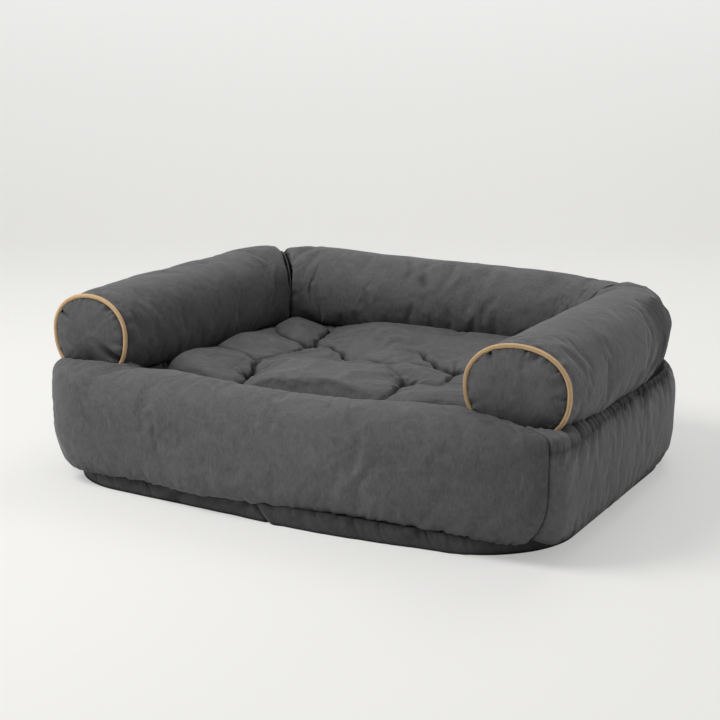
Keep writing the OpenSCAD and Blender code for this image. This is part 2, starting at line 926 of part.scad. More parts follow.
on_base_zip() zip_tapes(base_zip_l);  // base_zip_tapes
on_base_zip() zip_teeth(base_zip_l);  // base_zip_teeth
on_base_zip() zip_stops(base_zip_l);  // base_zip_stops
on_base_zip() parked(base_zip_l) zip_slider();  // base_zip_slider
on_base_zip() parked(base_zip_l) zip_pull();  // base_zip_pull
on_seat_zip() zip_tapes(seat_zip_l);  // seat_zip_tapes
on_seat_zip() zip_teeth(seat_zip_l);  // seat_zip_teeth
on_seat_zip() zip_stops(seat_zip_l);  // seat_zip_stops
on_seat_zip() parked(seat_zip_l) zip_slider();  // seat_zip_slider
on_seat_zip() parked(seat_zip_l) zip_pull();  // seat_zip_pull
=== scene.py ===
"""Looks of a dog sofa bed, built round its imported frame.

Metres, +Z up. The open front of the bed faces -Y, and +X is to the right as seen
from there. Every piece is made at its place, so no object is moved or turned.
"""
import math

import bpy
import numpy as np
from bpy.props import FloatProperty, FloatVectorProperty, IntProperty, PointerProperty
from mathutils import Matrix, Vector
from mathutils.bvhtree import BVHTree


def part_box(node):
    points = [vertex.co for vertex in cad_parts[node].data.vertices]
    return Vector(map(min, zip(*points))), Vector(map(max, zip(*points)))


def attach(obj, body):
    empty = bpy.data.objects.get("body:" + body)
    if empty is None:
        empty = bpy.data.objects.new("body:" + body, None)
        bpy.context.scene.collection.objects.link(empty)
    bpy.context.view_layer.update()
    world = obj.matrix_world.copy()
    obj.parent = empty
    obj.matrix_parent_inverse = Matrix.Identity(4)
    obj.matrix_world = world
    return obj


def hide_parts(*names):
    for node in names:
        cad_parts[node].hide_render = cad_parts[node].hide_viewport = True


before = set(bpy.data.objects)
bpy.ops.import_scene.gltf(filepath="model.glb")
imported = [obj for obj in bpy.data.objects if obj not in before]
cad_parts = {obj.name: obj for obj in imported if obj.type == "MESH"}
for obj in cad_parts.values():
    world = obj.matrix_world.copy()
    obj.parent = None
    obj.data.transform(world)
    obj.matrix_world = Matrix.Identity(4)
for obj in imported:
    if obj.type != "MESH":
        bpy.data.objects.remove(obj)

bl_info = {
    "name": "Dog sofa bed",
    "version": (1, 0, 0),
    "blender": (4, 5, 0),
    "location": "3D View > Sidebar > Dog sofa bed",
    "description": "Builds the cloth, piping, zips and finishes of a padded dog sofa bed",
    "category": "Object",
}

FRONT, RIGHT, BACK, LEFT = range(4)
WALL_NAMES = ("front", "right", "back", "left")


def length(name, description, default):
    return FloatProperty(
        name=name, description=description, default=default, min=0.0, unit="LENGTH", precision=4)


def share(name, description, default):
    return FloatProperty(
        name=name, description=description, default=default, min=0.0, max=4.0, subtype="FACTOR")


def colour(name, description, default):
    return FloatVectorProperty(
        name=name, description=description, default=default, size=3, min=0.0, max=1.0,
        subtype="COLOR")


class BedSizes(bpy.types.PropertyGroup):
    """Lengths of the bed, in metres"""

    bed_width: length("Width", "Width across the side walls", 0.920)
    bed_depth: length("Depth", "Depth from the front wall to the back wall", 0.740)
    base_height: length("Base height", "Height of the strip round the foot", 0.028)
    strip_inset: length("Strip inset", "How far the strip stands in at the sides", 0.030)
    strip_front_inset: length("Front inset", "How far the strip stands in at the front", 0.012)
    strip_back_inset: length("Back inset", "How far the strip stands in at the back", 0.020)
    strip_corner_radius: length("Strip corner", "Corner radius of the strip in front", 0.140)
    panel_thickness: length("Panel", "Thickness of a sewn panel", 0.0025)
    front_wall_height: length("Front wall height", "Height of the front wall", 0.190)
    arm_seat_height: length("Wall height", "Height at which the arms rest on the walls", 0.163)
    belly_height: length("Belly height", "Height of the walls' fullest line", 0.100)
    wall_above: length("Above belly", "Height of a side wall's round above its belly", 0.074)
    wall_below: length("Below belly", "Height of a wall's round below its belly", 0.090)
    front_wall_thickness: length("Front wall", "Thickness of the front wall", 0.130)
    side_wall_thickness: length("Side wall", "Thickness of a side wall", 0.158)
    back_wall_thickness: length("Back wall", "Thickness of the back wall", 0.163)
    front_left_radius: length("Front left corner", "Outer radius of that corner", 0.110)
    front_right_radius: length("Front right corner", "Outer radius of that corner", 0.050)
    rear_corner_radius: length("Rear corner", "Outer corner radius at the back", 0.230)
    well_corner_radius: length("Well corner", "Corner radius of the well", 0.030)
    front_bow: length("Front bow", "How far the front wall bows out", 0.016)
    arm_width: length("Arm width", "Width of an arm at its end cap", 0.150)
    arm_rise: length("Arm rise", "Height of an arm above its widest line", 0.066)
    arm_drop: length("Arm drop", "Height of an arm below its widest line", 0.070)
    arm_lean: length("Arm lean", "How far an arm leans into the well", 0.006)
    back_lean: length("Back lean", "How far the back leans into the well", 0.0085)
    cap_setback: length("Cap setback", "Distance from the front to an arm's end seam", 0.085)
    cap_dome: length("Cap dome", "How far an end cap domes out", 0.011)
    turn_radius: length("Turn", "Radius of the turn at the back corners", 0.140)
    piping_diameter: length("Piping", "Diameter of the piping cord", 0.0065)
    seat_top_height: length("Seat height", "Height of the cushion's crown", 0.187)
    seat_seam_height: length("Seat seam", "Height of the seam round the cushion", 0.092)
    seat_gap: length("Seat gap", "Gap round the cushion", 0.003)
    seat_round: length("Seat round", "Reach of the rounding along the cushion's edges", 0.040)
    tuft_depth: length("Tuft depth", "Depth of a tuft below the crown", 0.040)
    crease_depth: length("Crease depth", "Depth of a crease between tufts", 0.015)
    tray_inset: length("Tray inset", "How far the cushion's foot stands in", 0.016)
    tray_back_inset: length("Tray back inset", "How far its foot stands in at the back", 0.029)
    stuffing_corner_radius: length("Stuffing corner", "Corner radius of the seat's filling", 0.050)
    tray_corner_radius: length("Tray corner", "Corner radius of the cushion's foot", 0.040)
    base_zip_length: length("Base zip", "Length of the zip across the back", 0.460)
    seat_zip_length: length("Seat zip", "Length of the zip in the cushion", 0.440)
    tooth_pitch: length("Tooth pitch", "Spacing of the zip's teeth on one tape", 0.005)
    stitch_length: length("Stitch", "Length of a stitch", 0.0034)
    thread_diameter: length("Thread", "Thickness of the sewing thread", 0.0006)
    cloth_step: length("Cloth step", "Spacing of the points of the cloth as it settles", 0.005)
    cloth_move: length("Cloth move", "Furthest that a point may move as the cloth settles", 0.012)


class BedColours(bpy.types.PropertyGroup):
    """Colours of the bed and of the stage round it"""

    suede: colour("Suede", "Suede where its nap lies flat", (0.062, 0.062, 0.067))
    suede_light: colour("Suede, brushed", "Suede where its nap stands up", (0.128, 0.126, 0.129))
    # The two piping colours are lit and shaded copies of one camel cloth: painted light and painted shade
    piping: colour("Piping", "Camel piping", (0.700, 0.490, 0.275))
    piping_dark: colour("Piping, shaded", "Camel piping between its ribs", (0.480, 0.310, 0.150))
    base_cloth: colour("Base cloth", "Lining and base cloth", (0.036, 0.036, 0.039))
    filling: colour("Filling", "Polyester fibre", (0.850, 0.850, 0.830))
    foam: colour("Foam", "Foam sheet", (0.800, 0.740, 0.520))
    felt: colour("Felt", "Grey felt", (0.350, 0.350, 0.340))
    thread: colour("Thread", "Sewing thread", (0.045, 0.045, 0.048))
    zip_tape: colour("Zip tape", "Woven zip tape", (0.020, 0.020, 0.022))
    zip_metal: colour("Zip metal", "Painted zip metal", (0.100, 0.100, 0.105))
    floor: colour("Floor", "Floor and backdrop", (0.860, 0.860, 0.850))
    light: colour("Light", "Studio light", (1.000, 0.990, 0.975))


# Shapes in plain numbers


def smooth(low, high, x):
    t = np.clip((x - low) / (high - low), 0.0, 1.0)
    return t * t * (3 - 2 * t)


def power(v, e):
    return np.sign(v) * np.abs(v) ** e


def mix(a, b, t):
    return a + (b - a) * t


def soft_min(a, b, k):
    """The lower of two heights, rounded over where they cross."""
    h = np.clip(0.5 + 0.5 * (b - a) / k, 0.0, 1.0)
    return b * (1 - h) + a * h - k * h * (1 - h)


def soft_max(a, b, k):
    return -soft_min(-a, -b, k)


def unit(v):
    return v / np.linalg.norm(v, axis=-1, keepdims=True)


def circling(a):
    """Directions in plan at those angles."""
    return np.stack([np.cos(a), np.sin(a)], -1)


def lengths(points):
    """Length of a line up to each of its points."""
    return np.concatenate([[0], np.cumsum(np.linalg.norm(np.diff(points, axis=0), axis=1))])


def outward(line):
    """Directions out of a closed line in plan."""
    ahead = np.roll(line, -1, 0) - np.roll(line, 1, 0)
    return unit(np.stack([ahead[:, 1], -ahead[:, 0]], -1))


def mirrored(grid):
    """A grid on the other side of the bed, with its faces still outwards."""
    return (grid * np.array([-1, 1, 1]))[:, ::-1]


def lengths_round(grid):
    """Length round each ring, up to each of its points, for a tube of like rings."""
    steps = np.linalg.norm(np.diff(grid, axis=1), axis=-1).mean(0)
    return np.concatenate([[0], np.cumsum(steps)]) * np.ones((len(grid), 1))


def noise(places, size, seed):
    """Smooth noise from -1 to 1 in lumps of about that size."""
    q = np.asarray(places) / size + 31.7 * seed
    cell = np.floor(q).astype(np.int64)
    f = q - cell
    f = f * f * (3 - 2 * f)
    out = 0.0
    for corner in range(8):
        step = np.array([corner & 1, corner >> 1 & 1, corner >> 2 & 1])
        c = cell + step
        n = c[..., 0] * 374761393 + c[..., 1] * 668265263 + c[..., 2] * 1103515245 + seed * 974711
        n = n & 0xFFFFFFFF
        n = ((n ^ (n >> 13)) * 1274126177) & 0xFFFFFFFF
        value = ((n ^ (n >> 16)) & 0xFFFF) / 32767.5 - 1
        out = out + value * np.prod(np.where(step == 1, f, 1 - f), axis=-1)
    return out


def blurred(grid, rounds, closed):
    """A grid of values evened out between neighbours. Its second axis may be closed."""
    for _ in range(rounds):
        ends = np.concatenate([grid[:1], grid, grid[-1:]])
        grid = (ends[:-2] + 2 * grid + ends[2:]) / 4
        if closed:
            grid = (np.roll(grid, 1, 1) + 2 * grid + np.roll(grid, -1, 1)) / 4
        else:
            ends = np.concatenate([grid[:, :1], grid, grid[:, -1:]], axis=1)
            grid = (ends[:, :-2] + 2 * grid + ends[:, 2:]) / 4
    return grid


def halved(grid, closed):
    """The grid with a point between every two, along its first axis."""
    if closed:
        near = grid
        after = np.roll(grid, -1, 0)
        before = np.roll(grid, 1, 0)
        beyond = np.roll(grid, -2, 0)
    else:
        near = grid[:-1]
        after = grid[1:]
        before = np.concatenate([2 * grid[:1] - grid[1:2], grid[:-2]])
        beyond = np.concatenate([grid[2:], 2 * grid[-1:] - grid[-2:-1]])
    middle = (9 * (near + after) - before - beyond) / 16
    count = len(grid) + len(middle)
    out = np.empty((count,) + grid.shape[1:])
    out[0::2] = grid
    out[1::2] = middle
    return out


def finer(grid, closed):
    """The grid at half the spacing both ways."""
    return np.swapaxes(halved(np.swapaxes(halved(grid, False), 0, 1), closed), 0, 1)


def normals(grid, closed):
    """Outward normals of a grid whose rings turn the right way round."""
    du = np.gradient(grid, axis=0)
    if closed:
        dv = np.roll(grid, -1, 1) - np.roll(grid, 1, 1)
    else:
        dv = np.gradient(grid, axis=1)
    n = np.cross(du, dv)
    return n / np.maximum(np.linalg.norm(n, axis=-1, keepdims=True), 1e-12)


def spread(points, count, closed):
    """The line resampled to that many evenly spaced points."""
    if closed:
        points = np.concatenate([points, points[:1]])
    run = lengths(points)
    at = np.linspace(0, run[-1], count + 1)[:-1] if closed else np.linspace(0, run[-1], count)
    return np.stack([np.interp(at, run, points[:, k]) for k in range(points.shape[1])], axis=-1)


def gathers(along, away, seed, spacing, depth, reach, width, slant=0.0):
    """Short folds that start at a seam and die out away from it."""
    rng = np.random.default_rng(seed)
    out = np.zeros_like(along)
    place = along.min() + spacing * rng.uniform(0, 1)
    while place < along.max():
        w = width * rng.uniform(0.6, 1.5)
        fade = reach * rng.uniform(0.35, 1.6)
        deep = depth * rng.uniform(0.1, 1.3)
        lean = slant + rng.normal(0, 0.22)
        x = (along - place - lean * away) / (w * (1 + 0.8 * np.abs(away) / fade))
        near = np.abs(x) < 4
        x = x[near]
        fold = 0.5 * np.exp(-((x - 1.7) ** 2)) + 0.5 * np.exp(-((x + 1.7) ** 2)) - np.exp(-x * x)
        out[near] += deep * fold * np.exp(-((np.abs(away[near]) / fade) ** 1.3))
        place += spacing * rng.uniform(0.3, 1.9)
    return out


def fold_line(a, b, line, width, depth, bend=0.0):
    """A long soft fold from one place to another in two measures of the surface."""
    ax, ay, bx, by = line
    dx, dy = bx - ax, by - ay
    size = math.hypot(dx, dy)
    t = ((a - ax) * dx + (b - ay) * dy) / size ** 2
    side = ((a - ax) * dy - (b - ay) * dx) / size + bend * (t - 0.5) ** 2 - bend / 4
    fade = smooth(-0.12, 0.3, t) * (1 - smooth(0.65, 1.12, t))
    x = side / (width * (0.55 + 0.6 * fade))
    lee = np.where(x > 0, np.exp(-(x * x) / 3.2), np.exp(-(x * x)))
    return depth * fade * (0.75 * np.exp(-((x - 2.3) ** 2) / 2.2) - lee)


# Places across the front wall, and how far its lower edge stands over its seam there
LIP_PLACES = [-0.43, -0.34, -0.24, -0.17, -0.095, -0.026, 0.025, 0.14, 0.20, 0.263, 0.33, 0.42]
LIP_RISES = [-0.012, -0.005, 0.0014, 0.0023, 0.0056, 0.0063, 0.0038, 0.0038, 0.0028, 0.0025,
             0.0005, -0.012]

# Where the arms and the back meet: reach of their rounding, share of their size that it
# takes, depth and width of the notch in their top
MITRE_REACH, MITRE_SHARE = 0.014, 0.06
NOTCH_DEPTH, NOTCH_WIDTH = 0.010, 0.008

# How far a filling keeps from its cover, and how far it is drawn in to begin with
FILLING_LEAST, FILLING_INSET = 0.004, 0.009

# A gap that parts two pieces that are sewn together
SEAM_GAP = 0.0003


class Plan:
    """Places worked out from the bed's sizes."""

    def __init__(self, s):
        self.s = s
        half_w, half_d = s.bed_width / 2, s.bed_depth / 2
        self.well = [
            -half_w + s.side_wall_thickness, half_w - s.side_wall_thickness,
            -half_d + s.front_wall_thickness, half_d - s.back_wall_thickness]
        self.belly = [-half_w, half_w, -half_d + s.front_bow, half_d]
        self.well_radii = [s.well_corner_radius] * 4
        self.belly_radii = [
            s.front_left_radius, s.front_right_radius, s.rear_corner_radius, s.rear_corner_radius]
        self.arm_x = half_w - s.side_wall_thickness / 2 - s.arm_lean
        self.bolster_y = half_d - s.back_wall_thickness / 2 - s.back_lean
        self.cap_y = -half_d + s.cap_setback
        self.arm_z = s.arm_seat_height + s.arm_drop
        self.arm_foot = s.arm_seat_height + SEAM_GAP
        self.piping_r = s.piping_diameter / 2
        self.sleeve_y = self.cap_y + self.piping_r + SEAM_GAP
        self.turn_x = self.arm_x - s.turn_radius
        self.turn_y = self.bolster_y - s.turn_radius
        self.foot_reach = 1.14
        swollen = s.arm_width / 2 * 1.035
        self.seat_half_w = min(self.well[1], self.arm_x - swollen) - s.seat_gap
        self.seat_front = self.well[2] + s.seat_gap
        self.seat_back = min(self.well[3], self.bolster_y - s.arm_width / 2) - s.seat_gap
        self.seat_y = (self.seat_front + self.seat_back) / 2
        self.seat_half_d = (self.seat_back - self.seat_front) / 2

    def corner(self, box, radii, k):
        k = k % 4
        x = box[0] + radii[k] if k in (0, 3) else box[1] - radii[k]
        y = box[2] + radii[k] if k in (0, 1) else box[3] - radii[k]
        return np.array([x, y])

    def wall_line(self, box, radii, wall, arc_steps, edge_steps):
        """Plan of one wall from mitre to mitre."""
        def arc(k, start):
            a = np.radians(np.linspace(start, start + 45, arc_steps + 1) + 90 * wall)
            return self.corner(box, radii, k) + radii[k % 4] * circling(a)

        first, last = arc(wall, 225), arc(wall + 1, 270)
        t = np.linspace(0, 1, edge_steps + 1)[1:-1, None]
        line = np.concatenate([first, mix(first[-1], last[0], t), last])
        return line

    def outer_line(self, wall, arc_steps, edge_steps):
        line = self.wall_line(self.belly, self.belly_radii, wall, arc_steps, edge_steps)
        return self.bowed(line) if wall == FRONT else line

    def bowed(self, line):
        line[:, 1] -= self.s.front_bow * (1 - (line[:, 0] / line[-1][0]) ** 2)
        return line

    def strip_line(self, wall, arc_steps, edge_steps):
        """Plan of the strip along one wall."""
        s, b = self.s, self.belly
        box = [b[0] + s.strip_inset, b[1] - s.strip_inset,
               b[2] + s.strip_front_inset, b[3] - s.strip_back_inset]
        radii = [s.strip_corner_radius] * 2 + [s.rear_corner_radius - s.strip_inset] * 2
        line = self.wall_line(box, radii, wall, arc_steps, edge_steps)
        return self.bowed(line) if wall == FRONT else line

    def ring(self, box, radii, arc_steps, edge_steps):
        """Closed plan line of a box with round corners."""
        return np.concatenate(
            [self.wall_line(box, radii, wall, arc_steps, edge_steps)[:-1] for wall in range(4)])

    def strip_ring(self, arc_steps, edge_steps):
        """Closed plan line of the strip."""
        return np.concatenate(
            [self.strip_line(wall, arc_steps, edge_steps)[:-1] for wall in range(4)])

    def lip(self, x, y):
        """Height of the walls' lower edge, which sags over the strip here and there."""
        side = -0.015 * smooth(0.30, 0.40, abs(x)) * (1 - smooth(0.30, 0.36, y))
        front = np.interp(x, LIP_PLACES, LIP_RISES)
        return self.s.base_height + SEAM_GAP + (front if y < -0.315 else side)

    def tube_offset(self, x, y):
        """Signed distance in plan from the middle line of the arms and the back."""
        x = np.abs(x)
        to_turn = np.hypot(x - self.turn_x, y - self.turn_y) - self.s.turn_radius
        straight = np.where(y < self.turn_y, x - self.arm_x, y - self.bolster_y)
        return np.where((x > self.turn_x) & (y > self.turn_y), to_turn, straight)

    def under_tube(self, x, y):
        """Height of the underside of the arms and the back over a place in plan."""
        full = smooth(0, 0.08, np.asarray(y) - self.sleeve_y)
        reach = self.s.arm_width / 2 * mix(1.01, 1.03, full)
        d = np.clip(np.abs(self.tube_offset(x, y)) / reach, 0, 1)
        round_by = mix(2.3, 3.0, full)
        drop = self.s.arm_drop * mix(1.0, self.foot_reach, full)
        low = self.arm_z - drop * (1 - d ** round_by) ** (1 / round_by)
        return np.maximum(self.sunk_foot(x, y), low)

    def sunk_foot(self, x, y):
        """Height of the seam under the arms, which sink in along their middle."""
        middle = smooth(-0.24, -0.09, y) * (1 - smooth(0.03, 0.16, y)) * smooth(0.3, 0.34, abs(x))
        return self.arm_foot - 0.007 * middle


def section(reach, rise, drop, powers, count, feet):
    """Closed soft section with evenly spaced points, from its inner foot outwards.

    The powers are those of its top and its foot, inner and outer side of each.
    """
    t = np.radians(np.linspace(-135, 225, 721)[:-1])
    up = np.sin(t) > 0
    inner = np.cos(t) < 0
    p = np.where(up, np.where(inner, powers[0], powers[1]), np.where(inner, powers[2], powers[3]))
    across = reach * power(np.cos(t), 2 / p)
    height = np.where(up, rise, drop) * power(np.sin(t), 2 / p)
    foot = mix(feet[0], feet[1], smooth(0.45, 0.75, across / reach))
    height = soft_max(height, foot, 0.006)
    return spread(np.stack([across, height], -1), count, True)


# Meshes


def grid_faces(rows, columns, closed):
    """Quads of a grid, as rows of four point numbers."""
    j = np.arange(columns if closed else columns - 1)
    k = (j + 1) % columns
    i = np.arange(rows - 1)[:, None]
    quads = np.stack(
        [i * columns + j, (i + 1) * columns + j, (i + 1) * columns + k, i * columns + k], -1)
    return quads.reshape(-1, 4)


def raw_mesh(name, points, quads, triangles=()):
    mesh = bpy.data.meshes.new(name)
    faces = [tuple(int(v) for v in q) for q in quads] + [tuple(t) for t in triangles]
    mesh.from_pydata(points, [], faces)
    mesh.update()
    return mesh


def new_object(name, mesh):
    obj = bpy.data.objects.new(name, mesh)
    bpy.context.scene.collection.objects.link(obj)
    return obj


def soft_object(name, points, quads, triangles=(), uv=None, shade=None):
    """A smooth-shaded object, with a UV map if one is given for the corners of its faces.

    The shade of each point, from 0 to 1, is painted shade: it darkens the colour where the point lies in a
    fold or a seam, under or between parts, and on sides turned from the light.
    """
    mesh = raw_mesh(name, points, quads, triangles)
    mesh.shade_smooth()
    # Painted shade, kept as a point attribute that the materials read
    if shade is not None:
        values = np.zeros(len(points), np.float32)
        values[:shade.size] = np.clip(shade, 0, 1).ravel()
        mesh.attributes.new("shade", "FLOAT", "POINT").data.foreach_set("value", values)
    if uv is not None:
        layer = mesh.uv_layers.new(name="UVMap")
        layer.data.foreach_set("uv", np.asarray(uv, np.float32).ravel())
    return new_object(name, mesh)


def tube_object(name, grid, uv=None, shade=None):
    """A closed body from rings of points, with a fan over each end."""
    rows, columns = grid.shape[:2]
    points = grid.reshape(-1, 3)
    ends = np.stack([grid[0].mean(0), grid[-1].mean(0)])
    first, last = len(points), len(points) + 1
    quads = grid_faces(rows, columns, True)
    base = (rows - 1) * columns
    fans = []
    for j in range(columns):
        k = (j + 1) % columns
        fans.append((first, j, k))
        fans.append((last, base + k, base + j))
    if uv is not None:
        along, around = uv
        i = np.repeat(np.arange(rows - 1), columns)
        j = np.tile(np.arange(columns), rows - 1)
        corners = [(i, j), (i + 1, j), (i + 1, j + 1), (i, j + 1)]
        flat = np.stack([np.stack([along[a], around[b]], -1) for a, b in corners], 1)
        uv = np.concatenate([flat.reshape(-1, 2), np.zeros((len(fans) * 3, 2))])
    return soft_object(name, np.concatenate([points, ends]), quads, fans, uv, shade)


def settle(grid, closed, hold, growth, pressure, frames=20):
    """Lets a grid of cloth puff out and wrinkle, and returns where its points went."""
    rows, columns = grid.shape[:2]
    mesh = raw_mesh("settling", grid.reshape(-1, 3), grid_faces(rows, columns, closed))
    obj = new_object("settling", mesh)
    group = obj.vertex_groups.new(name="held")
    weights = np.round(hold.ravel(), 2)
    for value in np.unique(weights):
        if value > 0:
            group.add(np.flatnonzero(weights == value).tolist(), float(value), "REPLACE")
    cloth = obj.modifiers.new("Cloth", "CLOTH")
    c = cloth.settings
    c.quality = 4
    c.mass = 0.3
    c.tension_stiffness = c.compression_stiffness = 18
    c.shear_stiffness = 6
    c.bending_stiffness = 2.0
    c.tension_damping = c.compression_damping = 6
    c.use_pressure = True
    c.uniform_pressure_force = pressure
    c.shrink_min = -growth
    c.vertex_group_mass = "held"
    c.pin_stiffness = 1.0
    c.effector_weights.gravity = 0
    cloth.collision_settings.use_collision = False
    cloth.collision_settings.use_self_collision = False
    cloth.point_cache.frame_start = 1
    cloth.point_cache.frame_end = frames
    scene = bpy.context.scene
    for f in range(1, frames + 1):
        scene.frame_set(f)
    shown = obj.evaluated_get(bpy.context.evaluated_depsgraph_get())
    out = np.empty(len(shown.data.vertices) * 3)
    shown.data.vertices.foreach_get("co", out)
    scene.frame_set(1)
    bpy.data.objects.remove(obj)
    bpy.data.meshes.remove(mesh)
    return out.reshape(grid.shape)


def wrinkled(grid, closed, hold, growth=0.016, rounds=40, part=0.7):
    """The grid with the folds of its settled cloth, but not its overall swelling."""
    move = settle(grid, closed, hold, growth, 4.0) - grid
    move = part * (move - blurred(move, rounds, closed))
    size = np.linalg.norm(move, axis=-1, keepdims=True)
    cap = bpy.context.scene.bed_sizes.cloth_move
    return grid + move * np.minimum(1, cap / np.maximum(size, 1e-9))


# Materials


def new_material(name, base, roughness, sheen=0.0):
    """A material with its Principled shader, and the tools to wire it."""
    material = bpy.data.materials.new(name)
    material.use_nodes = True
    tree = material.node_tree
    shader = tree.nodes["Principled BSDF"]
    shader.inputs["Base Color"].default_value = (*base, 1)
    shader.inputs["Roughness"].default_value = roughness
    shader.inputs["Sheen Weight"].default_value = sheen
    shader.inputs["Sheen Roughness"].default_value = 0.4
    return material, tree, shader


def place_node(tree, scale, turn=(0, 0, 0), uv=False):
    """Object coordinates, or the UV map, stretched by scale."""
    source = tree.nodes.new("ShaderNodeTexCoord")
    mapping = tree.nodes.new("ShaderNodeMapping")
    mapping.inputs["Scale"].default_value = scale
    mapping.inputs["Rotation"].default_value = turn
    tree.links.new(source.outputs["UV" if uv else "Object"], mapping.inputs["Vector"])
    return mapping.outputs["Vector"]


def noise_node(tree, place, scale, detail=3.0, rough=0.55, bent=0.0):
    node = tree.nodes.new("ShaderNodeTexNoise")
    node.inputs["Scale"].default_value = scale
    node.inputs["Detail"].default_value = detail
    node.inputs["Roughness"].default_value = rough
    node.inputs["Distortion"].default_value = bent
    tree.links.new(place, node.inputs["Vector"])
    return node.outputs["Fac"]


def wave_node(tree, place, scale, bent=0.0, direction="X"):
    node = tree.nodes.new("ShaderNodeTexWave")
    node.bands_direction = direction
    node.inputs["Scale"].default_value = scale
    node.inputs["Distortion"].default_value = bent
    node.inputs["Detail"].default_value = 1.0
    tree.links.new(place, node.inputs["Vector"])
    return node.outputs["Fac"]


def math_node(tree, kind, a, b):
    node = tree.nodes.new("ShaderNodeMath")
    node.operation = kind
    for socket, value in zip(node.inputs, (a, b)):
        if isinstance(value, (int, float)):
            socket.default_value = value
        else:
            tree.links.new(value, socket)
    return node.outputs["Value"]


def total_node(tree, parts):
    """Sum of noises, each about its middle and times its own weight."""
    out = 0.5
    for value, weight in parts:
        centred = math_node(tree, "SUBTRACT", value, 0.5)
        out = math_node(tree, "ADD", math_node(tree, "MULTIPLY", centred, weight), out)
    return out


def blend_node(tree, factor, low, high):
    node = tree.nodes.new("ShaderNodeMix")
    node.data_type = "RGBA"
    node.inputs["Factor"].default_value = 0.5
    for socket, value in ((node.inputs[6], low), (node.inputs[7], high)):
        if isinstance(value, bpy.types.NodeSocket):
            tree.links.new(value, socket)
        else:
            socket.default_value = (*value, 1)
    tree.links.new(factor, node.inputs["Factor"])
    return node.outputs[2]


def bump_node(tree, height, depth, strength=1.0, under=None):
    node = tree.nodes.new("ShaderNodeBump")
    node.inputs["Strength"].default_value = strength
    node.inputs["Distance"].default_value = depth
    tree.links.new(height, node.inputs["Height"])
    if under is not None:
        tree.links.new(under, node.inputs["Normal"])
    return node.outputs["Normal"]


def suede_material(name, low, high, turn=0.0):
    """Brushed microfibre: soft mottled nap, fine creases, a dusty bloom on its ridges, and painted shade in
    its hollows and where its point attribute asks for it.
    """
    material, tree, shader = new_material(name, low, 0.86, 0.28)
    shader.inputs["Sheen Roughness"].default_value = 0.36
    shader.inputs["Sheen Tint"].default_value = (0.62, 0.62, 0.66, 1)
    place = place_node(tree, (1, 1, 1), (0, 0, turn))
    streak = place_node(tree, (1, 1, 0.28), (0.10, 0.16, turn))
    cloud = noise_node(tree, place, 7.0, 4.0, 0.55, 0.6)
    patch = noise_node(tree, place, 34.0, 5.0, 0.62, 1.6)
    brush = noise_node(tree, streak, 330.0, 3.0, 0.65, 0.4)
    nap = noise_node(tree, place, 1500.0, 2.0, 0.6)
    tone = total_node(tree, [(cloud, 0.75), (patch, 1.30), (brush, 1.15), (nap, 0.35)])
    # Pointiness makes ridges lighter, as dusty rubbed nap, and hollows darker, as painted shade
    point = tree.nodes.new("ShaderNodeNewGeometry").outputs["Pointiness"]
    ridge = math_node(tree, "MULTIPLY", math_node(tree, "SUBTRACT", point, 0.5), 5.0)
    tone = math_node(tree, "ADD", tone, ridge)
    clamp = tree.nodes.new("ShaderNodeClamp")
    tree.links.new(tone, clamp.inputs["Value"])
    cloth = blend_node(tree, clamp.outputs["Result"], low, high)
    # Painted shade: the point attribute mixes the colour towards a near-black copy of the suede
    shade = tree.nodes.new("ShaderNodeAttribute")
    shade.attribute_name = "shade"
    dark = tuple(0.12 * v for v in low)
    tree.links.new(blend_node(tree, shade.outputs["Fac"], cloth, dark), shader.inputs["Base Color"])
    crease = noise_node(tree, place, 30.0, 3.0, 0.5, 0.7)
    soft = bump_node(tree, crease, 0.0050, 0.5)
    mid = bump_node(tree, brush, 0.0008, 0.5, soft)
    fine = bump_node(tree, nap, 0.00022, 0.6, mid)
    tree.links.new(fine, shader.inputs["Normal"])
    rough = math_node(tree, "ADD", math_node(tree, "MULTIPLY", patch, 0.12), 0.80)
    tree.links.new(rough, shader.inputs["Roughness"])
    # The sheen is dimmed where shade is painted
    bloom = math_node(tree, "MULTIPLY", math_node(tree, "SUBTRACT", 1.0, shade.outputs["Fac"]), 0.28)
    tree.links.new(bloom, shader.inputs["Sheen Weight"])
    return material


def twill_material(name, low, high):
    """Woven cotton on the piping, on the UV map of the cord."""
    material, tree, shader = new_material(name, high, 0.74, 0.15)
    place = place_node(tree, (1, 1, 1), (0, 0, 0.62), True)
    rib = wave_node(tree, place, 190.0, 0.6)
    object_place = place_node(tree, (1, 1, 1))
    fibre = noise_node(tree, object_place, 900.0, 3.0, 0.6)
    cloud = noise_node(tree, object_place, 26.0, 3.0, 0.5)
    # The tone blends the piping's shaded colour, painted shade, with its lit one, by ribs, fibres and
    # clouds
    tone = total_node(tree, [(rib, 0.5), (fibre, 0.55), (cloud, 0.7)])
    # Painted shade: the point attribute darkens the colour along a line of the cord
    shade = tree.nodes.new("ShaderNodeAttribute")
    shade.attribute_name = "shade"
    dark = tuple(0.45 * v for v in low)
    cloth = blend_node(tree, tone, low, high)
    tree.links.new(blend_node(tree, shade.outputs["Fac"], cloth, dark), shader.inputs["Base Color"])
    under = bump_node(tree, rib, 0.00025, 0.7)
    tree.links.new(bump_node(tree, fibre, 0.00015, 0.6, under), shader.inputs["Normal"])
    return material


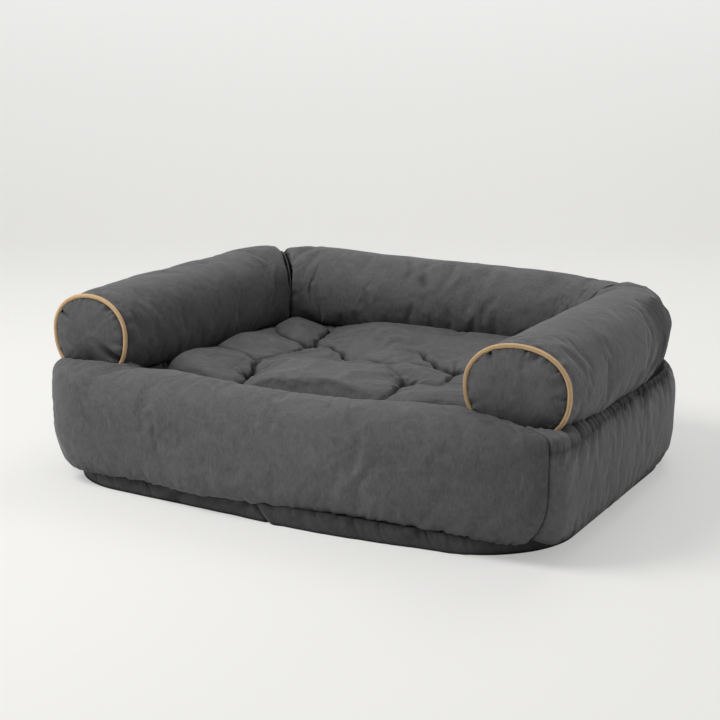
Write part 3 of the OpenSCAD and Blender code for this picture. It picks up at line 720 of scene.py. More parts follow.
def woven_material(name, base, pitch, dots=False, roughness=0.85):
    """Plain weave on Object coordinates, with rows of grip dots if asked."""
    lighter = tuple(min(1.0, 1.7 * v + 0.004) for v in base)
    material, tree, shader = new_material(name, base, roughness, 0.12)
    place = place_node(tree, (1, 1, 1))
    warp = wave_node(tree, place, 1 / pitch / 6.3, 0.4, "X")
    weft = wave_node(tree, place, 1 / pitch / 6.3, 0.4, "Y")
    upright = wave_node(tree, place, 1 / pitch / 6.3, 0.4, "Z")
    fibre = noise_node(tree, place, 1100.0, 3.0, 0.6)
    cloud = noise_node(tree, place, 14.0, 3.0, 0.55)
    tone = total_node(
        tree, [(warp, 0.25), (weft, 0.25), (upright, 0.25), (fibre, 0.6), (cloud, 0.7)])
    tree.links.new(blend_node(tree, tone, base, lighter), shader.inputs["Base Color"])
    height = total_node(tree, [(warp, 0.6), (weft, 0.6), (upright, 0.6), (fibre, 0.4)])
    normal = bump_node(tree, height, 0.0003, 0.7)
    if dots:
        cells = tree.nodes.new("ShaderNodeTexVoronoi")
        cells.inputs["Scale"].default_value = 110.0
        cells.inputs["Randomness"].default_value = 0.0
        tree.links.new(place_node(tree, (1, 1, 0)), cells.inputs["Vector"])
        bead = math_node(tree, "LESS_THAN", cells.outputs["Distance"], 0.24)
        normal = bump_node(tree, bead, 0.0008, 0.8, normal)
    tree.links.new(normal, shader.inputs["Normal"])
    return material


def fibre_material(name, base, scale, depth):
    """Matted fibre, felt or foam, by the size of its lumps."""
    darker = tuple(0.8 * v for v in base)
    material, tree, shader = new_material(name, base, 0.95, 0.1)
    place = place_node(tree, (1, 1, 1))
    lump = noise_node(tree, place, scale, 5.0, 0.65, 1.0)
    strand = noise_node(tree, place_node(tree, (1, 4, 1.6), (0.5, 0.3, 0.8)), 5 * scale, 4.0, 0.6)
    tone = total_node(tree, [(lump, 0.8), (strand, 0.6)])
    tree.links.new(blend_node(tree, tone, darker, base), shader.inputs["Base Color"])
    tree.links.new(bump_node(tree, total_node(tree, [(lump, 1.0), (strand, 0.5)]), depth),
                   shader.inputs["Normal"])
    return material


def hard_material(name, base, metal, roughness):
    """Painted metal or moulded plastic with fine scuffs and worn edges."""
    lighter = tuple(min(1.0, 1.6 * v + 0.03) for v in base)
    material, tree, shader = new_material(name, base, roughness)
    shader.inputs["Metallic"].default_value = metal
    place = place_node(tree, (1, 1, 1))
    scuff = noise_node(tree, place, 500.0, 4.0, 0.6, 1.0)
    grain = noise_node(tree, place, 2500.0, 2.0, 0.5)
    point = tree.nodes.new("ShaderNodeNewGeometry").outputs["Pointiness"]
    worn = math_node(tree, "MULTIPLY", math_node(tree, "SUBTRACT", point, 0.52), 4.0)
    tone = math_node(tree, "ADD", total_node(tree, [(scuff, 0.7), (grain, 0.3)]), worn)
    tone = math_node(tree, "MULTIPLY", tone, 0.7)
    tree.links.new(blend_node(tree, tone, base, lighter), shader.inputs["Base Color"])
    rough = math_node(tree, "ADD", math_node(tree, "MULTIPLY", scuff, 0.25), roughness - 0.12)
    tree.links.new(rough, shader.inputs["Roughness"])
    tree.links.new(bump_node(tree, grain, 0.00005, 0.5), shader.inputs["Normal"])
    return material


def bed_material(slot):
    """The material of one of the record's slots, made when it is first asked for."""
    found = bpy.data.materials.get(slot + "_look")
    if found:
        return found
    c = bpy.context.scene.bed_colours
    name = slot + "_look"
    if slot == "suede":
        return suede_material(name, tuple(c.suede), tuple(c.suede_light))
    # The strip's look is a darker copy of the suede: painted shade under the walls' lip
    if slot == "strip":
        return suede_material(
            name, tuple(0.45 * v for v in c.suede), tuple(0.52 * v for v in c.suede_light))
    # The cushion top's look is a copy of the suede, 5% lighter as painted light, with its nap turned
    if slot == "seat_suede":
        return suede_material(
            name, tuple(1.05 * v for v in c.suede), tuple(1.05 * v for v in c.suede_light), 0.7)
    if slot == "piping":
        return twill_material(name, tuple(c.piping_dark), tuple(c.piping))
    if slot == "base_cloth":
        return woven_material(name, tuple(c.base_cloth), 0.0011, True)
    if slot == "filling":
        return fibre_material(name, tuple(c.filling), 90.0, 0.003)
    if slot == "foam":
        return fibre_material(name, tuple(c.foam), 700.0, 0.0008)
    if slot == "felt":
        return fibre_material(name, tuple(c.felt), 400.0, 0.0006)
    if slot == "thread":
        return woven_material(name, tuple(c.thread), 0.0005)
    if slot == "zip_tape":
        return woven_material(name, tuple(c.zip_tape), 0.0008)
    if slot == "zip_teeth":
        return hard_material(name, tuple(c.zip_tape), 0.0, 0.38)
    return hard_material(name, tuple(c.zip_metal), 0.55, 0.42)


def dress(obj, slot, body, *nodes, look=None):
    """Gives a piece its material and its place on a body, and hides the nodes it stands for."""
    obj.data.materials.append(bed_material(look or slot))
    if nodes:
        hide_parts(*nodes)
    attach(obj, body)
    return obj


def kept_inside(grid, obj, least):
    """The rings, drawn in to their middles where they come too near a closed object."""
    mesh = obj.data
    tree = BVHTree.FromPolygons(
        [v.co for v in mesh.vertices], [tuple(f.vertices) for f in mesh.polygons])
    out = grid.copy()
    for ring, middle in zip(out, grid.mean(1)):
        for k in range(len(ring)):
            for _ in range(14):
                place, normal, _face, _distance = tree.find_nearest(ring[k])
                if (place - Vector(ring[k])).dot(normal) >= least:
                    break
                ring[k] = mix(ring[k], middle, 0.07)
    return out


def cover(name, grid, node, filling_node, shade=None, slot="suede", body="base"):
    """A stuffed cover, with its filling a little inside it."""
    obj = dress(tube_object(name, grid, None, shade), slot, body, node)
    inner = blurred(grid[::4, ::4], 3, True)[1:-1]
    inner = kept_inside(inner - FILLING_INSET * normals(inner, True), obj, FILLING_LEAST)
    dress(tube_object(name + "_stuffing", inner), "filling", body, filling_node)


# Pieces


def plan():
    return Plan(bpy.context.scene.bed_sizes)


# Places across the front wall, and how far its ridge stands over its usual height there
RIDGE_PLACES = [-0.44, -0.385, -0.335, -0.25, -0.10, 0.02, 0.15, 0.28, 0.36, 0.405, 0.44]
RIDGE_RISES = [0.002, 0.004, -0.004, 0.003, -0.004, -0.006, -0.003, 0.004, 0.006, 0.004, -0.002]


def ridge(x):
    return float(np.interp(x, RIDGE_PLACES, RIDGE_RISES))


def wall_grid(p, wall, step):
    """Rings of one wall, and how far each ring is from the nearer mitre."""
    s = p.s
    arc_n = int(round(s.rear_corner_radius * math.pi / 4 / step))
    edge_n = int(round((s.bed_width if wall in (FRONT, BACK) else s.bed_depth) * 0.72 / step))
    inner = p.wall_line(p.well, p.well_radii, wall, arc_n, edge_n)
    outer = p.outer_line(wall, arc_n, edge_n)
    run = lengths(outer)
    end = np.minimum(run, run[-1] - run)
    count = int(round(0.56 / step))
    direction = np.array([math.cos(math.radians(90 * wall)), math.sin(math.radians(90 * wall))])
    front_rise = s.front_wall_height - s.belly_height
    rings = []
    for i, (a, b) in enumerate(zip(inner, outer)):
        from_front = i if wall == RIGHT else len(inner) - 1 - i if wall == LEFT else arc_n
        if wall == FRONT:
            rise = front_rise
        elif wall == BACK:
            rise = s.wall_above + 0.008
        else:
            mitre = front_rise + ridge(RIDGE_PLACES[-1 if wall == RIGHT else 0])
            rise = mix(mitre, s.wall_above + 0.004, smooth(0, arc_n * 2.5, from_front))
        drawn = 1 - 0.035 * math.exp(-end[i] / 0.0028)
        reach = np.linalg.norm(b - a) / 2 * drawn
        if wall == FRONT:
            rise = rise + ridge(b[0])
        lip = p.lip(*b) + 0.0014 * math.sin(run[i] * 95 + 3 * math.sin(run[i] * 31))
        feet = (s.base_height + SEAM_GAP - s.belly_height, lip - s.belly_height)
        to_front = run[i] if wall == RIGHT else run[-1] - run[i] if wall == LEFT else end[i]
        corner = 0.0 if wall == BACK else math.exp(-to_front / (0.05 if wall == FRONT else 0.08))
        box = mix(2.8 if wall == FRONT else 3.4, 16.0 if b[0] > 0 else 7.0, corner)
        foot = 5.0 if wall != FRONT else mix(4.6, 3.0, float(smooth(-0.02, 0.12, b[0])))
        foot = mix(foot, 1.75, math.exp(-to_front / 0.05) if wall != BACK else 0.0)
        sec = section(reach, rise * drawn, s.wall_below, (2.8, box, 2.8, foot), count, feet)
        middle = (a + b) / 2
        across = unit(b - a)
        if end[i] < 1e-6:
            middle = middle + direction * (0.0002 if i == 0 else -0.0002)
        xy = middle + across * sec[:, :1]
        rings.append(np.concatenate([xy, s.belly_height + sec[:, 1:]], axis=1))
    grid = np.array(rings)
    return grid, run, end


def under_arms(p, grid):
    """Presses a wall's top down to the underside of the arms, the caps and the back."""
    s = p.s
    x, y, z = grid[..., 0], grid[..., 1], grid[..., 2]
    limit = p.under_tube(x, y)
    rim = np.clip(np.abs(p.tube_offset(x, y)) / (s.arm_width / 2), 0, 1) ** 3
    front = p.cap_y - s.cap_dome * (1 - rim) - 0.002
    limit = np.where(y < front, limit + (front - y) * 14, limit)
    free = np.abs(p.tube_offset(x, y)) / (s.arm_width / 2 * 1.03)
    limit = limit + np.where(free > 0.999, 1.0, 0.0)
    out = grid.copy()
    out[..., 2] = np.where(z > s.belly_height, soft_min(z, limit, 0.002), z)
    return out


class BED_OT_walls(bpy.types.Operator):
    """Builds the four puffed walls"""

    bl_idname = "bed.walls"
    bl_label = "Walls"

    def execute(self, context):
        p = plan()
        s = p.s
        for wall, name in enumerate(WALL_NAMES):
            grid, run, end = wall_grid(p, wall, s.cloth_step)
            count = grid.shape[1]
            foot = (grid[..., 2] < s.base_height + 0.004) * 1.0
            hold = np.maximum(np.exp(-end / 0.005)[:, None] * np.ones(count), foot)
            top = (wall != FRONT) * smooth(
                s.arm_seat_height - 0.004, s.arm_seat_height + 0.002, grid[..., 2])
            hold = np.clip(np.maximum(hold, top), 0, 1)
            grid = wrinkled(grid, True, hold, part=0.55 if wall == FRONT else 0.45)
            grid = finer(grid, True)
            along = halved(run[:, None], False) * np.ones(grid.shape[1])
            close = np.minimum(along, run[-1] - along)
            z = grid[..., 2]
            n = normals(grid, True)
            middle = grid.mean(1, keepdims=True)
            outside = np.sum((grid - middle)[..., :2] * n[..., :2], -1) > 0
            d = 0.0014 * noise(grid, 0.11, 3 + wall) + 0.0007 * noise(grid, 0.035, 9 + wall)
            from_foot = np.maximum(z - s.base_height, 0)
            d += gathers(along, from_foot, 20 + wall, 0.017, 0.0017, 0.009, 0.0032, 0.15)
            d += gathers(along, from_foot, 30 + wall, 0.085, 0.0020, 0.028, 0.007, -0.3)
            # Painted shade at the foot and at the mitres
            shade = 0.35 * np.exp(-from_foot / 0.006) + 0.45 * np.exp(-((close / 0.0016) ** 2))
            if wall != FRONT:
                below = np.maximum(s.arm_seat_height + 0.004 - z, 0)
                lean = -0.6 if wall == RIGHT else 0.5
                d += gathers(along, below, 40 + wall, 0.011, 0.0015, 0.008, 0.0028)
                tops = gathers(along, below, 50 + wall, 0.031, 0.0085, 0.012, 0.0040, lean / 4)
                tops += gathers(along, below, 52 + wall, 0.062, 0.0070, 0.018, 0.0055, lean / 2)
                tops *= smooth(0.02, 0.07, close) * (0.6 if wall == BACK else 1.0)
                d += tops + gathers(along, below, 55 + wall, 0.060, 0.0008, 0.080, 0.0085, lean)
                seam = np.abs(s.arm_seat_height + 0.002 - z)
                # Painted shade in the gathers under the arms and along the seam below them
                shade += 0.7 * smooth(0.0008, 0.005, -tops) + 0.6 * np.exp(-seam / 0.005)
            else:
                over = np.maximum(s.front_wall_height - z, 0)
                d += gathers(along, over, 46, 0.070, 0.0012, 0.030, 0.010, 0.3)
                d += gathers(along, np.abs(over - 0.004), 47, 0.034, 0.0009, 0.006, 0.0040)
            d += gathers(z, close, 60 + wall, 0.024, 0.0007, 0.010, 0.005)
            d = np.maximum(d, -0.006) * smooth(0, 0.004, close)
            x, y = grid[..., 0], grid[..., 1]
            if wall == FRONT:
                bow = np.exp(-(((x + 0.08) / 0.13) ** 2)) * (1 - smooth(0.03, 0.12, z))
                d += 0.010 * bow * outside
                # Painted shade darkening the front's right end, where the light falls off
                shade += 0.20 * smooth(0.12, 0.42, x) * outside
            d -= 0.0075 * np.exp(-(((y - 0.15) / 0.10) ** 2)) * smooth(0.2, 0.8, n[..., 0]) * (x > 0.38)
            grid = grid + n * d[..., None]
            low = np.where(outside, 0.0, s.base_height + SEAM_GAP)
            grid[..., 2] = np.maximum(grid[..., 2], low)
            pressed = under_arms(p, grid)
            # Painted shade where the top is pressed under the arms
            shade += 0.5 * smooth(0.0, 0.006, grid[..., 2] - pressed[..., 2])
            # Faces inside the well take near-full painted shade, except on the front wall
            cover(name + "_wall", pressed, name + "_wall_cover", name + "_wall_filling",
                  np.where(outside | (wall == FRONT), shade, 0.9))
        return {"FINISHED"}


def arm_path(p, step):
    """Places, headings and shares of length of the right arm's rings."""
    s = p.s
    straight = int(round((p.turn_y - p.sleeve_y) / step))
    turn = int(round(s.turn_radius * 1.4 * math.pi / 4 / step))
    t = np.linspace(0, 1, straight + 1)
    a = np.linspace(0, math.pi / 4, turn + 1)[1:]
    lead = np.stack([np.full(straight + 1, p.arm_x), mix(p.sleeve_y, p.turn_y, t)], -1)
    bend = np.array([p.turn_x, p.turn_y]) + s.turn_radius * circling(a)
    place = np.concatenate([lead, bend])
    heading = np.concatenate([np.zeros(straight + 1), a])
    shares = np.concatenate([t * 9 / 13, 9 / 13 + 4 / 13 * a / (math.pi / 4)])
    run = np.concatenate([t * (p.turn_y - p.sleeve_y),
                          (p.turn_y - p.sleeve_y) + a * s.turn_radius])
    return place, heading, shares, run


def back_path(p, step):
    """The same for the back, from the right mitre to the left one."""
    s = p.s
    turn = int(round(s.turn_radius * 1.4 * math.pi / 4 / step))
    straight = int(round(2 * p.turn_x / step))
    a = np.linspace(math.pi / 4, math.pi / 2, turn + 1)
    b = np.linspace(math.pi / 2, 3 * math.pi / 4, turn + 1)
    right = np.array([p.turn_x, p.turn_y]) + s.turn_radius * circling(a)
    left = np.array([-p.turn_x, p.turn_y]) + s.turn_radius * circling(b)
    t = np.linspace(0, 1, straight + 1)[1:-1]
    middle = np.stack([mix(p.turn_x, -p.turn_x, t), np.full(len(t), p.bolster_y)], -1)
    place = np.concatenate([right, middle, left])
    heading = np.concatenate([a, np.full(len(t), math.pi / 2), b])
    shares = np.concatenate([
        np.linspace(0, 0.25, turn + 1), mix(0.25, 0.75, t), np.linspace(0.75, 1, turn + 1)])
    arc = s.turn_radius * math.pi / 4
    run = np.concatenate([
        np.linspace(0, arc, turn + 1), arc + 2 * p.turn_x * t,
        arc + 2 * p.turn_x + np.linspace(0, arc, turn + 1)])
    return place, heading, shares, run


def tube_grid(p, place, heading, reach, rise, drop, count, run=None):
    rings = []
    for i, (q, a, r, up, down) in enumerate(zip(place, heading, reach, rise, drop)):
        foot = float(p.sunk_foot(*q)) - p.arm_z
        low = 3.0 if run is None else mix(2.3, 3.0, float(smooth(0, 0.08, run[i])))
        sec = section(r, up, down, (2.1, 2.1, low, low), count, (foot, foot))
        xy = q + sec[:, :1] * np.array([math.cos(a), math.sin(a)])
        rings.append(np.concatenate([xy, p.arm_z + sec[:, 1:]], axis=1))
    return np.array(rings)


def rounding(left, reach, depth):
    """Share lost towards a mitre, as a round end of that reach."""
    t = np.clip(left / reach, 0, 1)
    return depth * (1 - np.sqrt(1 - (1 - t) ** 2))


def pinch(share):
    return 0.08 * np.exp(-share / 0.12)


def notch(p, grid, to_mitre):
    """Depth of the notch in the top of the arms and the back where they meet."""
    top = smooth(0.0, 0.75, (grid[..., 2] - p.arm_z) / p.s.arm_rise)
    return NOTCH_DEPTH * np.exp(-((to_mitre / NOTCH_WIDTH) ** 2)) * top


# How much wider an arm is at its end cap, how far its middle is over towards the well
# and how much lower its top is there, by side
CAP_FIT = {1: (0.0039, 0.0039, 0.0037), -1: (-0.0044, 0.0, 0.0045)}


class BED_OT_arms(bpy.types.Operator):
    """Builds the sleeves of the two arms"""

    bl_idname = "bed.arms"
    bl_label = "Arms"

    def execute(self, context):
        p = plan()
        s = p.s
        place, heading, shares, run = arm_path(p, s.cloth_step)
        swell = 1 + 0.035 * np.sin(np.pi * shares) - pinch(1 - shares)
        mitre = rounding(run[-1] - run, MITRE_REACH, MITRE_SHARE)
        tuck = 0.0024 * np.exp(-run / 0.006)
        reach = s.arm_width / 2 * (swell - mitre) - tuck
        rise = s.arm_rise * (swell - mitre) - tuck
        drop = s.arm_drop * mix(1, p.foot_reach, np.minimum(1, 4 * shares))
        count = int(round(0.40 / s.cloth_step))
        end = 0.0013 * np.array([1, -1]) / math.sqrt(2)
        place[-1] += end
        for side, name in ((1, "right"), (-1, "left")):
            wider, over, lower = CAP_FIT[side]
            by_cap = np.exp(-run / 0.03)
            hump = np.exp(-(((run[-1] - run - 0.02) / 0.06) ** 2)) * (0.008 if side < 0 else 0.0)
            spot = place - np.stack([over * by_cap, 0 * run], -1)
            grid = tube_grid(p, spot, heading, reach + wider * by_cap, rise - lower * by_cap + hump,
                             drop, count, run)
            hold = np.exp(-run / 0.004) + np.exp(-(run[-1] - run) / 0.006)
            hold = hold[:, None] + (grid[..., 2] < p.arm_foot + 0.004)
            grid = wrinkled(grid, True, np.clip(hold, 0, 1), 0.016 + 0.002 * side)
            grid = finer(grid, True)
            along = halved(run[:, None], False) * np.ones(grid.shape[1])
            around = lengths_round(grid)
            to_mitre = run[-1] - along
            n = normals(grid, True)
            seed = 5 if side > 0 else 6
            d = 0.0013 * noise(grid, 0.10, seed) + 0.0006 * noise(grid, 0.03, seed + 10)
            d += gathers(around, along, 70 + seed, 0.0105, 0.0016, 0.009, 0.0026)
            d += gathers(around, along, 80 + seed, 0.030, 0.0024, 0.022, 0.0060)
            d += gathers(around, to_mitre, 90 + seed, 0.034, 0.0016, 0.020, 0.0070)
            for line in ARM_FOLDS[side]:
                d += fold_line(along, around, line[:4], line[4], line[5], line[6])
            low = p.sunk_foot(grid[..., 0], grid[..., 1])
            d = np.maximum(d, -0.007) * smooth(0, 0.010, grid[..., 2] - low)
            d -= notch(p, grid, to_mitre)
            if side > 0:
                d -= 0.0075 * np.exp(-(((grid[..., 1] - 0.17) / 0.09) ** 2)) * smooth(0.2, 0.8, n[..., 0])
            d = np.minimum(d, mix(0.0015, 0.01, smooth(-0.9, -0.5, n[..., 0])))
            grid = grid + n * d[..., None]
            grid[..., 2] = np.maximum(grid[..., 2], low)
            # Painted shade at the foot, in the folds, at both ends and on the left arm's inner side
            shade = 0.7 * np.exp(-(grid[..., 2] - low) / 0.007) + 0.6 * smooth(0.0012, 0.005, -d)
            shade += 0.9 * np.exp(-along / 0.0028) + 0.8 * np.exp(-((to_mitre / 0.003) ** 2))
            shade += 0.20 * smooth(0.2, 0.9, -n[..., 0]) * (side < 0)
            if side < 0:
                grid = mirrored(grid)
                shade = shade[:, ::-1]
            cover(name + "_arm", grid, name + "_arm_sleeve", name + "_arm_filling", shade)
        return {"FINISHED"}


# Long folds on each arm: from and to as lengths along the arm and round it from its
# inner foot, then width, depth and bend
ARM_FOLDS = {
    1: [
        (0.300, 0.130, 0.420, 0.205, 0.010, 0.0030, 0.03),
        (0.360, 0.110, 0.500, 0.190, 0.012, 0.0036, 0.02),
        (0.250, 0.120, 0.330, 0.185, 0.009, 0.0022, 0.02),
        (0.420, 0.095, 0.520, 0.150, 0.010, 0.0030, -0.02),
        (0.440, 0.215, 0.520, 0.250, 0.009, 0.0024, 0.02),
        (0.180, 0.100, 0.260, 0.135, 0.009, 0.0018, 0.02),
    ],
    -1: [
        (0.330, 0.250, 0.430, 0.300, 0.011, 0.0028, 0.02),
        (0.250, 0.270, 0.340, 0.320, 0.010, 0.0026, -0.02),
        (0.400, 0.200, 0.500, 0.260, 0.012, 0.0030, 0.02),
        (0.120, 0.290, 0.220, 0.330, 0.009, 0.0020, 0.02),
    ],
}


class BED_OT_back(bpy.types.Operator):
    """Builds the sleeve of the round back"""

    bl_idname = "bed.back"
    bl_label = "Back"

    def execute(self, context):
        p = plan()
        s = p.s
        place, heading, shares, run = back_path(p, s.cloth_step)
        end = np.minimum(run, run[-1] - run)
        mitre = rounding(end, MITRE_REACH, MITRE_SHARE)
        swell = 1 - pinch(shares) - pinch(1 - shares) - mitre
        reach = s.arm_width / 2 * swell
        rise = s.arm_rise * (swell - 0.07 * np.sin(np.pi * shares))
        rise -= 0.010 * np.exp(-(((place[:, 0] - 0.27) / 0.085) ** 2))
        rise += 0.004 * np.exp(-(((place[:, 0] + 0.25) / 0.10) ** 2))
        drop = np.full(len(shares), s.arm_drop * p.foot_reach)
        step = 0.0013 / math.sqrt(2)
        place[0] += [-step, step]
        place[-1] += [step, step]
        grid = tube_grid(p, place, heading, reach, rise, drop, int(round(0.40 / s.cloth_step)))
        hold = np.exp(-end / 0.006)[:, None] + (grid[..., 2] < p.arm_foot + 0.004)
        grid = wrinkled(grid, True, np.clip(hold, 0, 1), 0.022)
        grid = finer(grid, True)
        along = halved(run[:, None], False) * np.ones(grid.shape[1])
        close = np.minimum(along, run[-1] - along)
        around = lengths_round(grid)
        n = normals(grid, True)
        d = 0.0014 * noise(grid, 0.10, 7) + 0.0007 * noise(grid, 0.03, 17)
        d += gathers(around, close, 97, 0.034, 0.0016, 0.022, 0.0070)
        for line in BACK_FOLDS:
            d += fold_line(along, around, line[:4], line[4], line[5], line[6])
        d = np.maximum(d, -0.007) * smooth(0, 0.010, grid[..., 2] - p.arm_foot)
        d -= notch(p, grid, close)
        d = np.minimum(d, mix(0.0015, 0.01, smooth(-0.9, -0.5, n[..., 1])))
        grid = grid + n * d[..., None]
        grid[..., 2] = np.maximum(grid[..., 2], p.arm_foot)
        # Painted shade at the foot, in the folds, at the mitres and low on the inner side
        shade = 0.7 * np.exp(-(grid[..., 2] - p.arm_foot) / 0.008) + 0.6 * smooth(0.0012, 0.005, -d)
        shade += 0.8 * np.exp(-((close / 0.003) ** 2))
        shade += 0.16 * smooth(0.0, 0.9, -n[..., 1]) * smooth(-0.02, 0.05, p.arm_z - grid[..., 2])
        cover("back_bolster", grid, "back_bolster_sleeve", "back_bolster_filling", shade)
        return {"FINISHED"}


# Folds of the back, written as those of the arms, from the right mitre
BACK_FOLDS = [
    (0.330, 0.375, 0.350, 0.290, 0.009, 0.0042, 0.04),
    (0.360, 0.385, 0.385, 0.300, 0.010, 0.0046, -0.03),
    (0.300, 0.380, 0.312, 0.310, 0.008, 0.0034, 0.03),
    (0.405, 0.370, 0.430, 0.300, 0.009, 0.0030, 0.03),
    (0.275, 0.365, 0.262, 0.300, 0.010, 0.0022, 0.02),
    (0.500, 0.370, 0.520, 0.300, 0.012, 0.0024, 0.03),
    (0.150, 0.370, 0.130, 0.300, 0.012, 0.0024, 0.03),
]


def cap_outline(p, t, inset, side):
    """Points of an arm's end outline at angles t, in X and Z about the arm's middle."""
    s = p.s
    wider, over, lower = CAP_FIT[side]
    up = np.sin(t) > 0
    power_at = np.where(up, 2.1, 2.3)
    rise = np.where(up, s.arm_rise - lower, s.arm_drop)
    x = (s.arm_width / 2 + wider - inset) * power(np.cos(t), 2 / power_at) - over
    z = (rise - inset) * power(np.sin(t), 2 / power_at)
    return x, z


class BED_OT_caps(bpy.types.Operator):
    """Builds the round end panels of the arms"""

    bl_idname = "bed.caps"
    bl_label = "Caps"

    def execute(self, context):
        p = plan()
        s = p.s
        count, rings = 240, 44
        t = np.linspace(0, 2 * math.pi, count, endpoint=False)
        rim = p.piping_r * 0.72
        for side, name, seed in ((1, "right", 5), (-1, "left", 8)):
            x, z = cap_outline(p, t, rim, side)
            run = lengths(np.stack([x, z], -1))
            share_out = np.concatenate([[0.99, 1.0], np.linspace(1, 0.012, rings) ** 0.8])
            deep = np.concatenate([[p.piping_r, p.piping_r * 0.4], np.zeros(rings)])
            r = share_out[2:]
            deep[2:] = p.piping_r * 0.1 - s.cap_dome * (1 - r ** 3.2) ** 0.62
            grid = np.empty((len(deep), count, 3))
            grid[..., 0] = p.arm_x + share_out[:, None] * x
            grid[..., 1] = p.cap_y + deep[:, None]
            grid[..., 2] = p.arm_z + share_out[:, None] * z
            inner = (1 - share_out[:, None]) * np.hypot(x, z)
            along = run * np.ones((len(deep), 1))
            d = gathers(along, inner, seed, 0.0125, 0.0022, 0.0075, 0.0026)
            d += gathers(along, inner, seed + 1, 0.040, 0.0034, 0.016, 0.0050)
            d += 0.0013 * noise(grid, 0.045, seed) * smooth(0.0, 0.02, inner)
            d += 0.0020 * noise(grid, 0.090, seed + 3) * smooth(0.0, 0.03, inner)
            grid[2:, :, 1] -= d[2:]
            grid[..., 2] = np.maximum(grid[..., 2], p.arm_foot)
            # Painted shade in the gathers, along the piping and on the lower half
            shade = 0.8 * smooth(0.0004, 0.003, -d) + 0.9 * np.exp(-inner / 0.0024)
            shade += 0.35 * smooth(0.01, 0.06, p.arm_z - grid[..., 2])
            if side < 0:
                grid = mirrored(grid)
                shade = shade[:, ::-1]
            obj = tube_object(name + "_cap", grid[:, ::-1], None, shade[:, ::-1])
            dress(obj, "suede", "base", name + "_arm_cap")
        return {"FINISHED"}


class BED_OT_piping(bpy.types.Operator):
    """Builds the piping cords round the end panels"""

    bl_idname = "bed.piping"
    bl_label = "Piping"

    def execute(self, context):
        p = plan()
        t = np.radians(np.linspace(-57, 222, 300))
        sides = 20
        a = np.linspace(0, 2 * math.pi, sides, endpoint=False)
        for side, name, seed in ((1, "right", 2), (-1, "left", 4)):
            line = spread(np.stack(cap_outline(p, t, 0, side), -1), 240, False)
            ahead = unit(np.gradient(line, axis=0))
            out = np.stack([ahead[:, 1], -ahead[:, 0]], -1)
            run = lengths(line)
            spine = np.stack([line[:, 0], np.zeros(len(line)), line[:, 1]], -1)
            r = p.piping_r * (1.08 + 0.035 * noise(spine, 0.012, seed))
            crease = 1 - 0.10 * np.exp(-(((a + 2.25) % (2 * math.pi) - math.pi) / 0.28) ** 2)
            wave = 0.0004 * noise(spine + 3, 0.035, seed + 1)
            ring_r = r[:, None] * crease
            grid = np.empty((len(line), sides, 3))
            grid[..., 0] = p.arm_x + line[:, :1] + out[:, :1] * (ring_r * np.cos(a) + wave[:, None])
            grid[..., 1] = p.cap_y + ring_r * np.sin(a)
            grid[..., 2] = p.arm_z + line[:, 1:] + out[:, 1:] * (ring_r * np.cos(a) + wave[:, None])
            if side < 0:
                grid = mirrored(grid)
            around = np.linspace(0, 2 * math.pi * p.piping_r, sides + 1)
            # Painted shade: a dark line along the cord, on its side towards the front
            shade = 0.55 * np.exp(-(((a - 2 * math.pi + 1.3) / 0.24) ** 2)) * np.ones((len(line), 1))
            obj = tube_object(name + "_piping", grid[:, ::-1], (run, around), shade[:, ::-1])
            dress(obj, "piping", "base", name + "_arm_piping")
        return {"FINISHED"}


